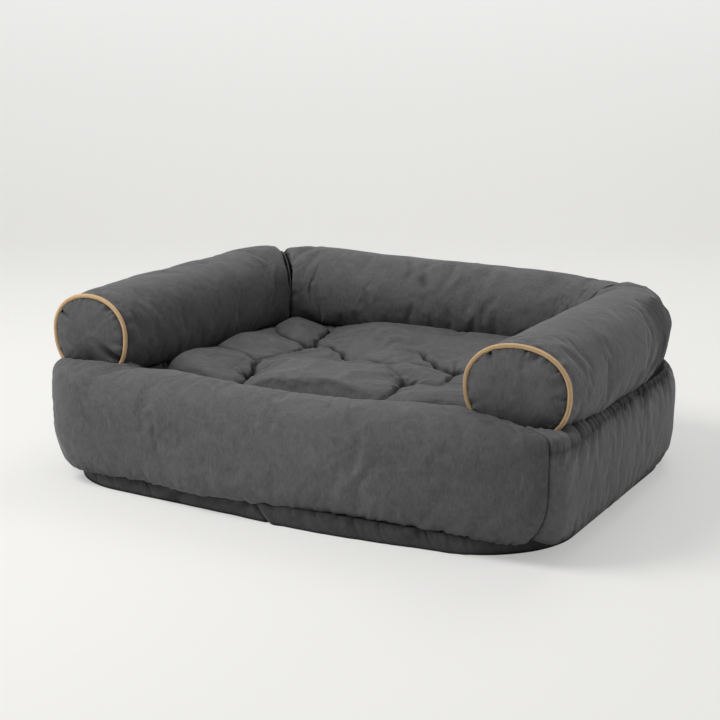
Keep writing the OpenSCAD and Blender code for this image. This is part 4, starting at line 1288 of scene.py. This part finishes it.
class BED_OT_strip(bpy.types.Operator):
    """Builds the pleated strip round the foot"""

    bl_idname = "bed.strip"
    bl_label = "Base strip"

    def execute(self, context):
        p = plan()
        s = p.s
        line = p.strip_ring(24, 90)
        line = spread(line, 1150, True)
        out = outward(line)
        run = np.arange(len(line)) * np.linalg.norm(line[1] - line[0])
        h, t = s.base_height, s.panel_thickness
        rise = np.concatenate([np.linspace(0.0, 1.0, 17), [1.0], np.linspace(1.0, 0.0, 5), [0.0]])
        depth = np.concatenate([np.zeros(17), [0.5], np.ones(5), [0.5]])
        face = depth == 0
        bulge = 0.0030 * np.sin(np.pi * np.clip(rise, 0, 1)) ** 0.8 - 0.0010 - 0.002 * (1 - rise)
        grid = np.empty((len(line), len(rise), 3))
        below = np.maximum((1 - rise) * h, 0) * np.ones((len(line), 1))
        along = run[:, None] * np.ones(len(rise))
        d = gathers(along, below, 11, 0.024, 0.0030, 0.014, 0.0036, 0.5)
        d += gathers(along, below, 12, 0.070, 0.0034, 0.020, 0.0080, -0.7)
        places = np.concatenate([line, np.zeros((len(line), 1))], 1)[:, None] + np.stack(
            [np.zeros(len(rise)), np.zeros(len(rise)), rise * h], -1)
        d += 0.0012 * noise(places, 0.05, 4)
        over = line[:, :1] + 0.006 - 0.9 * below
        flap = 0.0032 * np.exp(-(((over - 0.004) / 0.009) ** 2))
        groove = 0.0042 * np.exp(-(((over + 0.010) / 0.0034) ** 2))
        d += (flap - groove) * (line[:, 1:] < -0.25)
        zip_near = 1 - smooth(0.0, 0.03, np.abs(line[:, :1]) - s.base_zip_length / 2)
        zip_near = zip_near * (line[:, 1:] > 0)
        out_front = 0.012 * np.exp(-(((line[:, :1] - 0.10) / 0.17) ** 2)) * (line[:, 1:] < -0.25)
        loose = (bulge + np.clip(d, -0.004, 0.0035)) * (1 - zip_near) - 0.0002 + out_front
        offset = np.where(face, np.maximum(loose, -0.0018), -depth * t)
        grid[..., 0] = line[:, :1] + out[:, :1] * offset
        grid[..., 1] = line[:, 1:] + out[:, 1:] * offset
        lips = np.array([float(p.lip(*q)) for q in line])[:, None]
        grid[..., 2] = rise * np.maximum(h, lips - 0.0012)
        rows, columns = grid.shape[:2]
        points = grid.reshape(-1, 3)
        quads = grid_faces(rows + 1, columns, True)
        quads = np.where(quads >= rows * columns, quads - rows * columns, quads)
        # Painted shade under the walls' lip, in the folds and as a dark line along the foot
        shade = 0.55 * np.exp(-below / 0.006) + 0.5 * smooth(0.0, 0.003, -d)
        shade += 1.1 * np.exp(-((rise * h / 0.0032) ** 2))
        obj = soft_object("strip", points, quads[:, ::-1], shade=shade)
        # The strip's look is a darker copy of the suede, painted shade
        dress(obj, "suede", "base", "base_strip", look="strip")
        return {"FINISHED"}


# Tufts and creases of the cushion, as shares of its half width and half depth. A crease
# has its two ends, the depth at each as a share of the crease depth, and its bend
TUFTS = [(-0.52, -0.64), (-0.58, 0.38), (0.38, -0.47), (0.47, 0.10)]
CREASES = [
    (-0.58, 0.38, -0.60, 0.63, 1.2, 1.2, 0.02),
    (-0.60, 0.63, -0.66, 1.00, 1.2, 1.0, 0.02),
    (-0.58, 0.38, -0.79, 0.43, 1.1, 1.0, 0.03),
    (-0.79, 0.43, -1.00, 0.64, 0.9, 0.4, 0.02),
    (-0.58, 0.38, -0.575, 0.03, 1.2, 0.75, 0.02),
    (-0.575, 0.03, -0.60, -0.36, 0.75, 0.80, 0.03),
    (-0.60, -0.36, -0.52, -0.64, 0.9, 1.5, 0.02),
    (-0.52, -0.64, -0.44, -1.00, 1.5, 1.3, 0.02),
    (-0.60, -0.36, -1.00, -0.24, 0.8, 0.5, -0.03),
    (-0.58, 0.38, -0.36, 0.30, 1.1, 0.9, 0.02),
    (-0.36, 0.30, -0.20, 0.12, 0.9, 1.2, -0.03),
    (-0.20, 0.12, 0.10, 0.02, 1.0, 0.75, 0.03),
    (0.10, 0.02, 0.47, 0.10, 0.75, 0.9, 0.04),
    (0.47, 0.10, 0.35, 0.17, 1.3, 1.2, 0.02),
    (0.35, 0.17, 0.20, 0.31, 1.2, 1.0, 0.04),
    (0.20, 0.31, 0.08, 0.34, 0.9, 0.1, 0.02),
    (0.47, 0.10, 0.57, -0.40, 1.3, 0.8, 0.05),
    (0.38, -0.47, 0.57, -0.40, 1.0, 0.7, -0.04),
    (0.57, -0.40, 1.00, -0.46, 0.7, 0.4, 0.03),
    (0.38, -0.47, 0.42, -1.00, 1.1, 0.8, 0.03),
    (0.38, -0.47, 0.12, -0.08, 0.7, 0.3, 0.05),
    (0.47, 0.10, 1.00, 0.18, 0.9, 0.5, 0.03),
]


def seat_shape(p, u, v):
    """Places on top of the cushion, with their distances to the tufts and the creases,
    and how strongly the crease lines show there, which holds the cloth and sets their painted shade."""
    s = p.s
    turned = mix(0.035, 0.08, smooth(-0.2, 0.2, v))
    x = u * (1 - turned * v ** 4 * np.abs(u) ** 3) * p.seat_half_w
    y = p.seat_y + v * (1 - turned * u ** 4 * np.abs(v) ** 3) * p.seat_half_d
    to_tuft = np.full(u.shape, 9.0)
    for a, b in TUFTS:
        to_tuft = np.minimum(
            to_tuft, np.hypot(x - a * p.seat_half_w, y - p.seat_y - b * p.seat_half_d))
    dips, puckers = np.zeros(u.shape), np.zeros(u.shape)
    nearest, lined = np.full(u.shape, 9.0), np.zeros(u.shape)
    for ax, ay, bx, by, deep_a, deep_b, bend in CREASES:
        a = np.array([ax * p.seat_half_w, p.seat_y + ay * p.seat_half_d])
        b = np.array([bx * p.seat_half_w, p.seat_y + by * p.seat_half_d])
        line = b - a
        size = np.linalg.norm(line)
        t = np.clip(((x - a[0]) * line[0] + (y - a[1]) * line[1]) / size ** 2, 0, 1)
        arch = bend * size * 4 * t * (1 - t) + 0.003 * np.sin(9 * t + 40 * ax)
        qx = a[0] + t * line[0] - arch * line[1] / size
        qy = a[1] + t * line[1] + arch * line[0] / size
        d = np.hypot(x - qx, y - qy)
        deep = mix(deep_a, deep_b, t)
        sharp = smooth(0.6, 1.15, deep)
        here = 0.40 * sharp * np.exp(-d / 0.0036) + 0.64 * (1 - np.minimum(d / 0.125, 1)) ** 2.1
        dips += (s.crease_depth * 2.1 * deep * here) ** 4
        nearest = np.minimum(nearest, d)
        # Strength of each crease's line, for holding the cloth and for painted shade
        lined = np.maximum(lined, (0.25 + 0.75 * sharp) * np.exp(-((d / 0.0038) ** 2)))
        row = np.stack([t * size, np.full(t.shape, ax), np.full(t.shape, by)], -1)
        puckers = puckers + 0.0012 * sharp * noise(row, 0.006, 51) * np.exp(-d / 0.008)
    tuft = 0.5 * (s.tuft_depth - s.crease_depth) * np.exp(-to_tuft / 0.012)
    from_side = (1 - np.abs(u)) * p.seat_half_w / s.seat_round
    from_end = (1 - np.abs(v)) * p.seat_half_d / s.seat_round * np.where(v < 0, 0.55, 1.0)
    crown = np.ones(u.shape)
    for near, full in ((from_side, 2.8), (from_end, np.where(v < 0, 3.4, 2.8))):
        crown = crown * (1 - (1 - np.clip(near, 0, 1)) ** full) ** (1 / full)
    sunk = 0.017 * np.exp(-(((x + 0.09) / 0.13) ** 2) - ((y + 0.01) / 0.07) ** 2)
    puffed = s.seat_top_height + 0.006 - sunk - dips ** 0.25 - tuft + puckers
    z = s.seat_seam_height + crown * (puffed - s.seat_seam_height)
    return np.stack([x, y, z], -1), to_tuft, nearest, lined


def rays(dx, dy, seed, count, reach, depth, width):
    """Folds that run out from a tuft."""
    rng = np.random.default_rng(seed)
    r, turn = np.hypot(dx, dy), np.arctan2(dy, dx)
    out = np.zeros_like(r)
    for k in range(count):
        at = 2 * math.pi * (k + rng.uniform(-0.35, 0.35)) / count
        far = reach * rng.uniform(0.5, 1.3)
        side = r * np.sin(turn - at + 4 * r * rng.uniform(-1, 1))
        wide = width * (0.5 + r / far)
        fold = np.exp(-((side / wide) ** 2)) - 0.5 * np.exp(-(((np.abs(side) - 2 * wide) / wide) ** 2))
        ahead = np.cos(turn - at) > 0
        fade = smooth(0.002, 0.010, r) * np.exp(-((r / far) ** 2))
        out -= depth * rng.uniform(0.5, 1.2) * np.where(ahead, fold * fade, 0)
    return out


def seat_stuffing(p):
    """The cushion's filling, smooth and well inside its cover."""
    s = p.s
    low, high = s.base_height + 0.008, s.seat_top_height - s.tuft_depth - 0.006
    rings = []
    for z, share in ((0.0, 0.4), (0.0, 0.90), (0.04, 0.93), (0.5, 0.93), (0.85, 0.90), (1.0, 0.82),
                     (1.0, 0.4)):
        box = [-p.seat_half_w * share, p.seat_half_w * share,
               p.seat_y - p.seat_half_d * (share - 0.04), p.seat_y + p.seat_half_d * (share - 0.08)]
        line = p.ring(box, [s.stuffing_corner_radius] * 4, 8, 20)
        rings.append(np.concatenate([line, np.full((len(line), 1), mix(low, high, z))], 1))
    grid = np.array(rings)[:, ::-1]
    dress(tube_object("seat_stuffing", grid), "filling", "seat_cushion", "seat_filling")


class BED_OT_seat(bpy.types.Operator):
    """Builds the tufted top of the loose cushion"""

    bl_idname = "bed.seat"
    bl_label = "Seat top"

    def execute(self, context):
        p = plan()
        s = p.s
        columns = int(round(2 * p.seat_half_w / 0.0042))
        rows = int(round(2 * p.seat_half_d / 0.0042))

        def shares(n):
            t = np.linspace(-1, 1, n)
            return 0.35 * t + 0.65 * np.sin(np.pi / 2 * t)

        u, v = np.meshgrid(shares(columns), shares(rows))
        grid, to_tuft, nearest, lined = seat_shape(p, u, v)
        edge = np.minimum(1 - np.abs(u), 1 - np.abs(v))
        hold = np.exp(-((to_tuft / 0.007) ** 2)) + 0.85 * lined
        hold = np.clip(hold + (edge < 0.004), 0, 1)
        grid = wrinkled(grid, False, hold, 0.020)
        parts = (u, v, to_tuft, nearest, lined)
        grid = finer(grid, False)
        u, v, to_tuft, nearest, lined = (finer(a[..., None], False)[..., 0] for a in parts)
        n = normals(grid, False)
        n = n * np.sign(n[..., 2:3] + 1e-9)
        x, y = grid[..., 0], grid[..., 1]
        d = 0.0016 * noise(grid, 0.07, 21) + 0.0008 * noise(grid, 0.025, 22)
        folds = np.zeros(x.shape)
        for k, (a, b) in enumerate(TUFTS):
            dx, dy = x - a * p.seat_half_w, y - p.seat_y - b * p.seat_half_d
            folds += rays(dx, dy, 100 + k, 7, 0.040, 0.0026, 0.0024)
            folds += rays(dx, dy, 110 + k, 13, 0.018, 0.0022, 0.0015)
        d += folds
        # Painted shade along the crease lines, near the creases, at the tufts and in the folds, a little
        # over all, and more towards the back and the left
        shade = 0.95 * lined + 0.22 * np.exp(-nearest / 0.016)
        shade += 1.2 * np.exp(-((to_tuft / 0.012) ** 2)) + 0.6 * smooth(0.0006, 0.003, -folds)
        shade += 0.06 + 0.24 * smooth(0.0, 0.22, y) + 0.18 * smooth(0.0, 0.25, -x)
        d *= smooth(0.0, 0.03, np.minimum(1 - np.abs(u), 1 - np.abs(v)))
        grid = grid + n * d[..., None]
        rows, columns = u.shape
        rim = np.concatenate([
            np.arange(columns), np.arange(1, rows) * columns + columns - 1,
            (rows - 1) * columns + np.arange(columns - 2, -1, -1),
            np.arange(rows - 2, 0, -1) * columns])
        points = grid.reshape(-1, 3)
        edge_points = points[rim]
        middle = np.array([0, p.seat_y, 0])
        low = edge_points.copy()
        low[:, 2] = s.seat_seam_height - s.panel_thickness + 0.0002
        inner = low.copy()
        inner[:, :2] = middle[:2] + (low[:, :2] - middle[:2]) * 0.97
        base = len(points)
        count = len(rim)
        points = np.concatenate([points, low, inner, [[0, p.seat_y, low[0, 2]]]])
        quads = grid_faces(rows, columns, False)[:, ::-1]
        k = np.arange(count)
        k2 = (k + 1) % count
        skirt = np.stack([rim[k], base + k, base + k2, rim[k2]], -1)
        under = np.stack([base + k, base + count + k, base + count + k2, base + k2], -1)
        fan = [
            (base + 2 * count, base + count + (j + 1) % count, base + count + j)
            for j in range(count)]
        obj = soft_object(
            "seat_top", points, np.concatenate([quads, skirt, under]), fan, shade=shade)
        dress(obj, "seat_suede", "seat_cushion", "seat_top_panel")
        seat_stuffing(p)
        return {"FINISHED"}


def slab(name, line, low, high, wave_low, wave_high, seed):
    """A flat cloth panel inside a closed line, with soft waves in its two faces."""
    count = len(line)
    middle = line.mean(0)
    shares = np.concatenate([np.linspace(0.004, 1, 60) ** 0.9, np.linspace(1, 0.004, 60) ** 0.9])
    xy = middle + shares[:, None, None] * (line - middle)
    top = np.arange(len(shares)) >= 60
    places = np.concatenate([xy, np.zeros((len(shares), count, 1))], -1)
    wave = 0.5 + 0.5 * noise(places, 0.06, seed) * smooth(0, 0.05, 1 - shares)[:, None]
    z = np.where(top[:, None], high - wave_high * wave, low + wave_low * wave)
    places[..., 2] = z
    return tube_object(name, places[::-1])


class BED_OT_base(bpy.types.Operator):
    """Builds the panels under the bed and in the floor of the well"""

    bl_idname = "bed.base"
    bl_label = "Base"

    def execute(self, context):
        p = plan()
        s = p.s
        inside = s.panel_thickness + SEAM_GAP
        line = p.strip_ring(14, 40)
        line = line - inside * outward(line)
        obj = slab("bottom_cloth", line, 0.0002, s.panel_thickness, 0.0, 0.0004, 31)
        dress(obj, "base_cloth", "base", "bottom_panel")
        low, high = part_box("deck_panel")
        box = [low[0], high[0], low[1], high[1]]
        line = p.ring(box, p.well_radii, 8, 40)
        obj = slab("deck_cloth", line, low[2], high[2], 0.0003, 0.0014, 32)
        dress(obj, "base_cloth", "base", "deck_panel")
        return {"FINISHED"}


class BED_OT_tray(bpy.types.Operator):
    """Builds the sides and the underside of the loose cushion"""

    bl_idname = "bed.tray"
    bl_label = "Seat underside"

    def execute(self, context):
        p = plan()
        s = p.s
        foot = s.base_height + s.panel_thickness + SEAM_GAP
        rim = [-p.seat_half_w + 0.004, p.seat_half_w - 0.004, p.seat_front + 0.004, p.seat_back - 0.004]
        tray = [-p.seat_half_w + s.tray_inset, p.seat_half_w - s.tray_inset,
                p.seat_front + s.tray_inset, p.seat_back - s.tray_back_inset]
        top = s.seat_seam_height - s.panel_thickness
        radius = s.tray_corner_radius
        rings = []
        for share, inset, z in (
                (1.0, 0.004, top), (1.0, 0.0, top - 0.0006), (0.6, 0.0, top - 0.0022),
                (0.15, 0.0, top - 0.0028), (0.0, 0.0, top - 0.005)):
            rings.append((share, inset, z))
        for t in np.linspace(0, 1, 14)[1:-1]:
            rings.append((0.0, 0.0, mix(top - 0.005, foot + 0.006, t)))
        for a in np.radians(np.linspace(0, 90, 6)):
            rings.append((0.0, 0.006 * (1 - math.cos(a)), foot + 0.006 * (1 - math.sin(a))))
        grid = []
        for share, inset, z in rings:
            box = [mix(tray[k], rim[k], share) + (inset if k in (0, 2) else -inset) for k in range(4)]
            line = p.ring(box, [radius - inset] * 4, 12, 60)
            grid.append(np.concatenate([line, np.full((len(line), 1), z)], 1))
        last = grid[-1]
        centre = last.mean(0)
        for share in np.linspace(1, 0.004, 50)[1:] ** 0.9:
            grid.append(centre + share * (last - centre))
        grid = np.array(grid)
        z = grid[..., 2]
        bottom = z < foot + 0.0001
        wave = 0.5 + 0.5 * noise(grid, 0.05, 41)
        from_zip = np.maximum(np.abs(grid[..., 0]) - s.seat_zip_length / 2, tray[3] - grid[..., 1])
        pull = smooth(0.004, 0.03, from_zip)
        n = normals(grid, True)
        d = -0.0022 * wave * pull
        side = smooth(foot + 0.002, foot + 0.012, z) * (1 - smooth(top - 0.012, top - 0.006, z))
        run = np.arange(grid.shape[1]) * 0.0075 * np.ones((len(grid), 1))
        d += side * pull * np.minimum(gathers(run, np.maximum(top - z, 0), 42, 0.03, 0.002, 0.03, 0.006), 0)
        moved = grid + n * (d * side)[..., None]
        inwards = smooth(0, 1, np.linspace(0, 1, len(grid)))[:, None]
        moved[..., 2] += 0.0016 * wave * bottom * inwards
        obj = tube_object("seat_underside", moved[:, ::-1])
        dress(obj, "base_cloth", "seat_cushion", "seat_bottom_panel", "seat_border_panel")
        return {"FINISHED"}


def row_tree(name, material):
    """Node group that sets an item along a line, turned to it and varied a little."""
    tree = bpy.data.node_groups.new(name, "GeometryNodeTree")
    sockets = {}

    def add(label, kind, default=None, inwards=True):
        socket = tree.interface.new_socket(
            name=label, in_out="INPUT" if inwards else "OUTPUT", socket_type="NodeSocket" + kind)
        if default is not None:
            socket.default_value = default
        sockets[label] = socket.identifier

    add("Line", "Geometry")
    add("Item", "Object")
    add("Spacing", "Float", 0.005)
    add("Variation", "Float", 0.05)
    add("Result", "Geometry", None, False)

    def node(kind, **values):
        made = tree.nodes.new(kind)
        for key, value in values.items():
            setattr(made, key, value)
        return made

    link = tree.links.new
    given, result = node("NodeGroupInput"), node("NodeGroupOutput")
    curve = node("GeometryNodeMeshToCurve")
    even = node("GeometryNodeResampleCurve", mode="LENGTH")
    item = node("GeometryNodeObjectInfo", transform_space="ORIGINAL")
    tangent = node("GeometryNodeInputTangent")
    turn = node("FunctionNodeAlignRotationToVector", axis="X")
    size = node("FunctionNodeRandomValue", data_type="FLOAT")
    least = node("ShaderNodeMath", operation="SUBTRACT")
    most = node("ShaderNodeMath", operation="ADD")
    placed = node("GeometryNodeInstanceOnPoints")
    real = node("GeometryNodeRealizeInstances")
    finish = node("GeometryNodeSetMaterial")
    finish.inputs["Material"].default_value = material
    least.inputs[0].default_value = most.inputs[0].default_value = 1.0
    for socket in size.inputs:
        if socket.name == "Seed":
            socket.default_value = 7
    low, high = (
        next(q for q in size.inputs if q.name == label and q.enabled) for label in ("Min", "Max"))
    value = next(q for q in size.outputs if q.enabled)
    link(given.outputs["Line"], curve.inputs["Mesh"])
    link(curve.outputs["Curve"], even.inputs["Curve"])
    link(given.outputs["Spacing"], even.inputs["Length"])
    link(given.outputs["Item"], item.inputs["Object"])
    link(given.outputs["Variation"], least.inputs[1])
    link(given.outputs["Variation"], most.inputs[1])
    link(least.outputs["Value"], low)
    link(most.outputs["Value"], high)
    link(tangent.outputs["Tangent"], turn.inputs["Vector"])
    link(even.outputs["Curve"], placed.inputs["Points"])
    link(item.outputs["Geometry"], placed.inputs["Instance"])
    link(turn.outputs["Rotation"], placed.inputs["Rotation"])
    link(value, placed.inputs["Scale"])
    link(placed.outputs["Instances"], real.inputs["Geometry"])
    link(real.outputs["Geometry"], finish.inputs["Geometry"])
    link(finish.outputs["Geometry"], result.inputs["Result"])
    return tree, sockets


def rows_of(name, slot, lines, item, spacing, variation):
    """A plain mesh of copies of the item along each of the lines."""
    points = np.concatenate(lines)
    starts = np.cumsum([0] + [len(line) for line in lines])
    edges = [(k, k + 1) for a, b in zip(starts, starts[1:]) for k in range(a, b - 1)]
    mesh = bpy.data.meshes.new(name + "_line")
    mesh.from_pydata(points, [], [])
    mesh.edges.add(len(edges))
    mesh.edges.foreach_set("vertices", np.array(edges).ravel())
    mesh.update()
    obj = new_object(name, mesh)
    tree, sockets = row_tree(name + "_rows", bed_material(slot))
    modifier = obj.modifiers.new("Rows", "NODES")
    modifier.node_group = tree
    modifier[sockets["Item"]] = item
    modifier[sockets["Spacing"]] = spacing
    modifier[sockets["Variation"]] = variation
    shown = obj.evaluated_get(bpy.context.evaluated_depsgraph_get())
    made = bpy.data.meshes.new_from_object(shown)
    obj.modifiers.clear()
    obj.data = made
    bpy.data.meshes.remove(mesh)
    bpy.data.node_groups.remove(tree)
    if not len(made.polygons):
        raise RuntimeError(name + " came out empty")
    made.materials.clear()
    return obj


def bead(name, half, powers, count, rings):
    """A small rounded block with a closed surface, about its own middle."""
    t = np.linspace(0, 2 * math.pi, count, endpoint=False)
    a = np.linspace(-math.pi / 2, math.pi / 2, rings)[1:-1, None]
    ring = power(np.cos(a), 2 / powers[0])
    grid = np.empty((len(a), count, 3))
    grid[..., 0] = half[0] * power(np.sin(a), 2 / powers[0])
    grid[..., 1] = half[1] * ring * power(np.cos(t), 2 / powers[1])
    grid[..., 2] = half[2] * ring * power(np.sin(t), 2 / powers[1])
    return tube_object(name, grid)


# Each zip by its body and the name of its nodes
ZIPS = (("base", "base_zip"), ("seat_cushion", "seat_zip"))


class BED_OT_zips(bpy.types.Operator):
    """Builds the teeth of the zips and the rows of stitches that hold their tapes"""

    bl_idname = "bed.zips"
    bl_label = "Zips"

    def execute(self, context):
        s = plan().s
        for body, name in ZIPS:
            low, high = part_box(name + "_teeth")
            thick, tall = high[1] - low[1], high[2] - low[2]
            middle = [(a + b) / 2 for a, b in zip(low, high)]
            tooth = bead("tooth", (0.19 * s.tooth_pitch, thick / 2, 0.36 * tall), (6, 5), 20, 12)
            spine = bead("coil", (0.42 * s.tooth_pitch, thick * 0.42, 0.11 * tall), (3, 2.5), 12, 9)
            edge = 0.5 * s.tooth_pitch
            rows = []
            for side, start in ((1, edge), (-1, 1.5 * edge)):
                z = middle[2] + side * 0.14 * tall
                rows.append(np.array([
                    [low[0] + start, middle[1], z], [high[0] - 2.5 * edge + start, middle[1], z]]))
            teeth = rows_of(name + "_tooth_rows", "zip_teeth", rows, tooth, s.tooth_pitch, 0.015)
            coils = []
            for side in (1, -1):
                z = middle[2] + side * 0.39 * tall
                coils.append(np.array([[low[0] + edge, middle[1], z], [high[0] - edge, middle[1], z]]))
            coil = rows_of(name + "_coils", "zip_teeth", coils, spine, s.tooth_pitch / 2, 0.02)
            dress(teeth, "zip_teeth", body, name + "_teeth")
            dress(coil, "zip_teeth", body, name + "_teeth")
            low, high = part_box(name + "_tapes")
            stitch = bead("stitch", (0.42 * s.stitch_length, 0.3 * s.thread_diameter,
                                     0.5 * s.thread_diameter), (2.5, 2.0), 8, 7)
            seams = []
            for z in (low[2] + 0.0018, low[2] + 0.0042, high[2] - 0.0042, high[2] - 0.0018):
                seams.append(np.array([[low[0] + 0.003, high[1] + 0.0001, z],
                                       [high[0] - 0.003, high[1] + 0.0001, z]]))
            seam = rows_of(name + "_stitches", "thread", seams, stitch, s.stitch_length, 0.08)
            dress(seam, "thread", body)
            for item in (tooth, spine, stitch):
                bpy.data.objects.remove(item)
        return {"FINISHED"}


CARRIED = {
    "base_cloth": ("left_baffle", "right_baffle"),
    "foam": ("base_foam",),
    "felt": ("seat_tuft_washers",),
    "thread": ("seat_tuft_ties",),
    "zip_tape": ("base_zip_tapes", "seat_zip_tapes"),
    "zip_metal": ("base_zip_stops", "seat_zip_stops", "base_zip_slider", "base_zip_pull",
                  "seat_zip_slider", "seat_zip_pull"),
}


class BED_OT_carried(bpy.types.Operator):
    """Finishes the pieces that are shown as the frame holds them"""

    bl_idname = "bed.carried"
    bl_label = "Carried pieces"

    def execute(self, context):
        for slot, nodes in CARRIED.items():
            for node in nodes:
                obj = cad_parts[node]
                obj.data.materials.clear()
                obj.data.materials.append(bed_material(slot))
        return {"FINISHED"}


# The camera, as worked out from the photograph: what it looks at, its distance from
# there, its turn and its tilt in degrees, its focal length and its sensor in millimetres
CAMERA_TARGET = (-0.043, 0.015, 0.164)
CAMERA_DISTANCE = 2.629
CAMERA_TURN, CAMERA_TILT = 28.83, 13.54
CAMERA_LENS, CAMERA_SENSOR = 77.84, 36

# The lights by name: place, target, size and power
LIGHTS = (
    ("key_light", (-1.6, -1.3, 2.6), (0, 0, 0.1), 1.6, 70),
    ("fill_light", (2.7, 0.4, 1.7), (0.2, 0, 0.1), 1.8, 10),
    ("back_light", (0.2, 2.0, 2.6), (0, 0, 0.2), 1.6, 20),
)
WORLD_STRENGTH = 0.36

# The backdrop: half its width, its near end, where it turns up, the radius of the turn
# and its height
BACKDROP_HALF, BACKDROP_NEAR, BACKDROP_TURN, BACKDROP_RADIUS, BACKDROP_TOP = 6, -4.0, 2.2, 1.2, 4.5


class BED_OT_stage(bpy.types.Operator):
    """Sets up the floor, the light and the camera"""

    bl_idname = "bed.stage"
    bl_label = "Stage"

    def execute(self, context):
        c = context.scene.bed_colours
        material, tree, shader = new_material("floor_look", tuple(c.floor), 0.9)
        place = place_node(tree, (1, 1, 1))
        tone = total_node(tree, [(noise_node(tree, place, 1.2), 0.3), (noise_node(tree, place, 60.0), 0.2)])
        tree.links.new(
            blend_node(tree, tone, tuple(0.985 * v for v in c.floor), tuple(c.floor)),
            shader.inputs["Base Color"])
        output = tree.nodes["Material Output"]
        glow = tree.nodes.new("ShaderNodeEmission")
        glow.inputs["Color"].default_value = (0.885, 0.885, 0.868, 1)
        blend = tree.nodes.new("ShaderNodeMixShader")
        seen = tree.nodes.new("ShaderNodeLightPath").outputs["Is Camera Ray"]
        height = tree.nodes.new("ShaderNodeSeparateXYZ")
        tree.links.new(place, height.inputs["Vector"])
        rising = math_node(tree, "MULTIPLY", height.outputs["Z"], 0.55)
        part = math_node(tree, "MINIMUM", math_node(tree, "ADD", rising, 0.42), 0.97)
        tree.links.new(math_node(tree, "MULTIPLY", seen, part), blend.inputs["Fac"])
        tree.links.new(shader.outputs["BSDF"], blend.inputs[1])
        tree.links.new(glow.outputs["Emission"], blend.inputs[2])
        tree.links.new(blend.outputs["Shader"], output.inputs["Surface"])
        profile = [(BACKDROP_NEAR, 0.0), (BACKDROP_TURN, 0.0)]
        for a in np.radians(np.linspace(-90, 0, 13)[1:]):
            profile.append((BACKDROP_TURN + BACKDROP_RADIUS * math.cos(a),
                            BACKDROP_RADIUS + BACKDROP_RADIUS * math.sin(a)))
        profile.append((BACKDROP_TURN + BACKDROP_RADIUS, BACKDROP_TOP))
        azimuth = math.radians(CAMERA_TURN)
        points = []
        for w in (-BACKDROP_HALF, BACKDROP_HALF):
            for y, z in profile:
                points.append((w * math.cos(azimuth) - y * math.sin(azimuth),
                               w * math.sin(azimuth) + y * math.cos(azimuth), z))
        n = len(profile)
        quads = [(i, n + i, n + i + 1, i + 1) for i in range(n - 1)]
        floor = soft_object("floor", points, quads)
        floor.data.materials.append(material)

        world = bpy.data.worlds.new("studio")
        context.scene.world = world
        world.use_nodes = True
        world.node_tree.nodes["Background"].inputs["Color"].default_value = (*c.light, 1)
        world.node_tree.nodes["Background"].inputs["Strength"].default_value = WORLD_STRENGTH

        def area(name, at, target, size, power):
            light = bpy.data.lights.new(name, "AREA")
            light.shape = "DISK"
            light.size = size
            light.energy = power
            light.color = c.light
            obj = new_object(name, light)
            obj.location = at
            obj.rotation_mode = "QUATERNION"
            obj.rotation_quaternion = (Vector(target) - Vector(at)).to_track_quat("-Z", "Y")

        for light in LIGHTS:
            area(*light)

        camera = bpy.data.cameras.new("camera")
        camera.lens = CAMERA_LENS
        camera.sensor_width = CAMERA_SENSOR
        obj = new_object("camera", camera)
        target = Vector(CAMERA_TARGET)
        a, e = math.radians(CAMERA_TURN), math.radians(CAMERA_TILT)
        back = Vector((math.sin(a) * math.cos(e), -math.cos(a) * math.cos(e), math.sin(e)))
        obj.location = target + back * CAMERA_DISTANCE
        obj.rotation_mode = "QUATERNION"
        obj.rotation_quaternion = (-back).to_track_quat("-Z", "Y")
        context.scene.camera = obj
        context.scene.view_settings.view_transform = "Standard"
        return {"FINISHED"}


class BED_PT_panel(bpy.types.Panel):
    """Sizes, colours and steps of the bed"""

    bl_label = "Dog sofa bed"
    bl_idname = "BED_PT_panel"
    bl_space_type = "VIEW_3D"
    bl_region_type = "UI"
    bl_category = "Dog sofa bed"

    def draw(self, context):
        for group in (context.scene.bed_sizes, context.scene.bed_colours):
            box = self.layout.box()
            for name in group.__annotations__:
                box.prop(group, name)
        for operator in OPERATORS:
            self.layout.operator(operator.bl_idname)


OPERATORS = (
    BED_OT_walls, BED_OT_arms, BED_OT_back, BED_OT_caps, BED_OT_piping, BED_OT_strip,
    BED_OT_base, BED_OT_seat, BED_OT_tray, BED_OT_zips, BED_OT_carried, BED_OT_stage,
)
CLASSES = (BedSizes, BedColours, *OPERATORS, BED_PT_panel)


def register():
    for cls in CLASSES:
        bpy.utils.register_class(cls)
    bpy.types.Scene.bed_sizes = PointerProperty(type=BedSizes)
    bpy.types.Scene.bed_colours = PointerProperty(type=BedColours)


def unregister():
    del bpy.types.Scene.bed_colours
    del bpy.types.Scene.bed_sizes
    for cls in reversed(CLASSES):
        bpy.utils.unregister_class(cls)


def main():
    register()
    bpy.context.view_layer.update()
    for operator in OPERATORS:
        name = operator.bl_idname.split(".")[1]
        if getattr(bpy.ops.bed, name)() != {"FINISHED"}:
            raise RuntimeError(name + " did not finish")


if __name__ == "__main__":
    main()
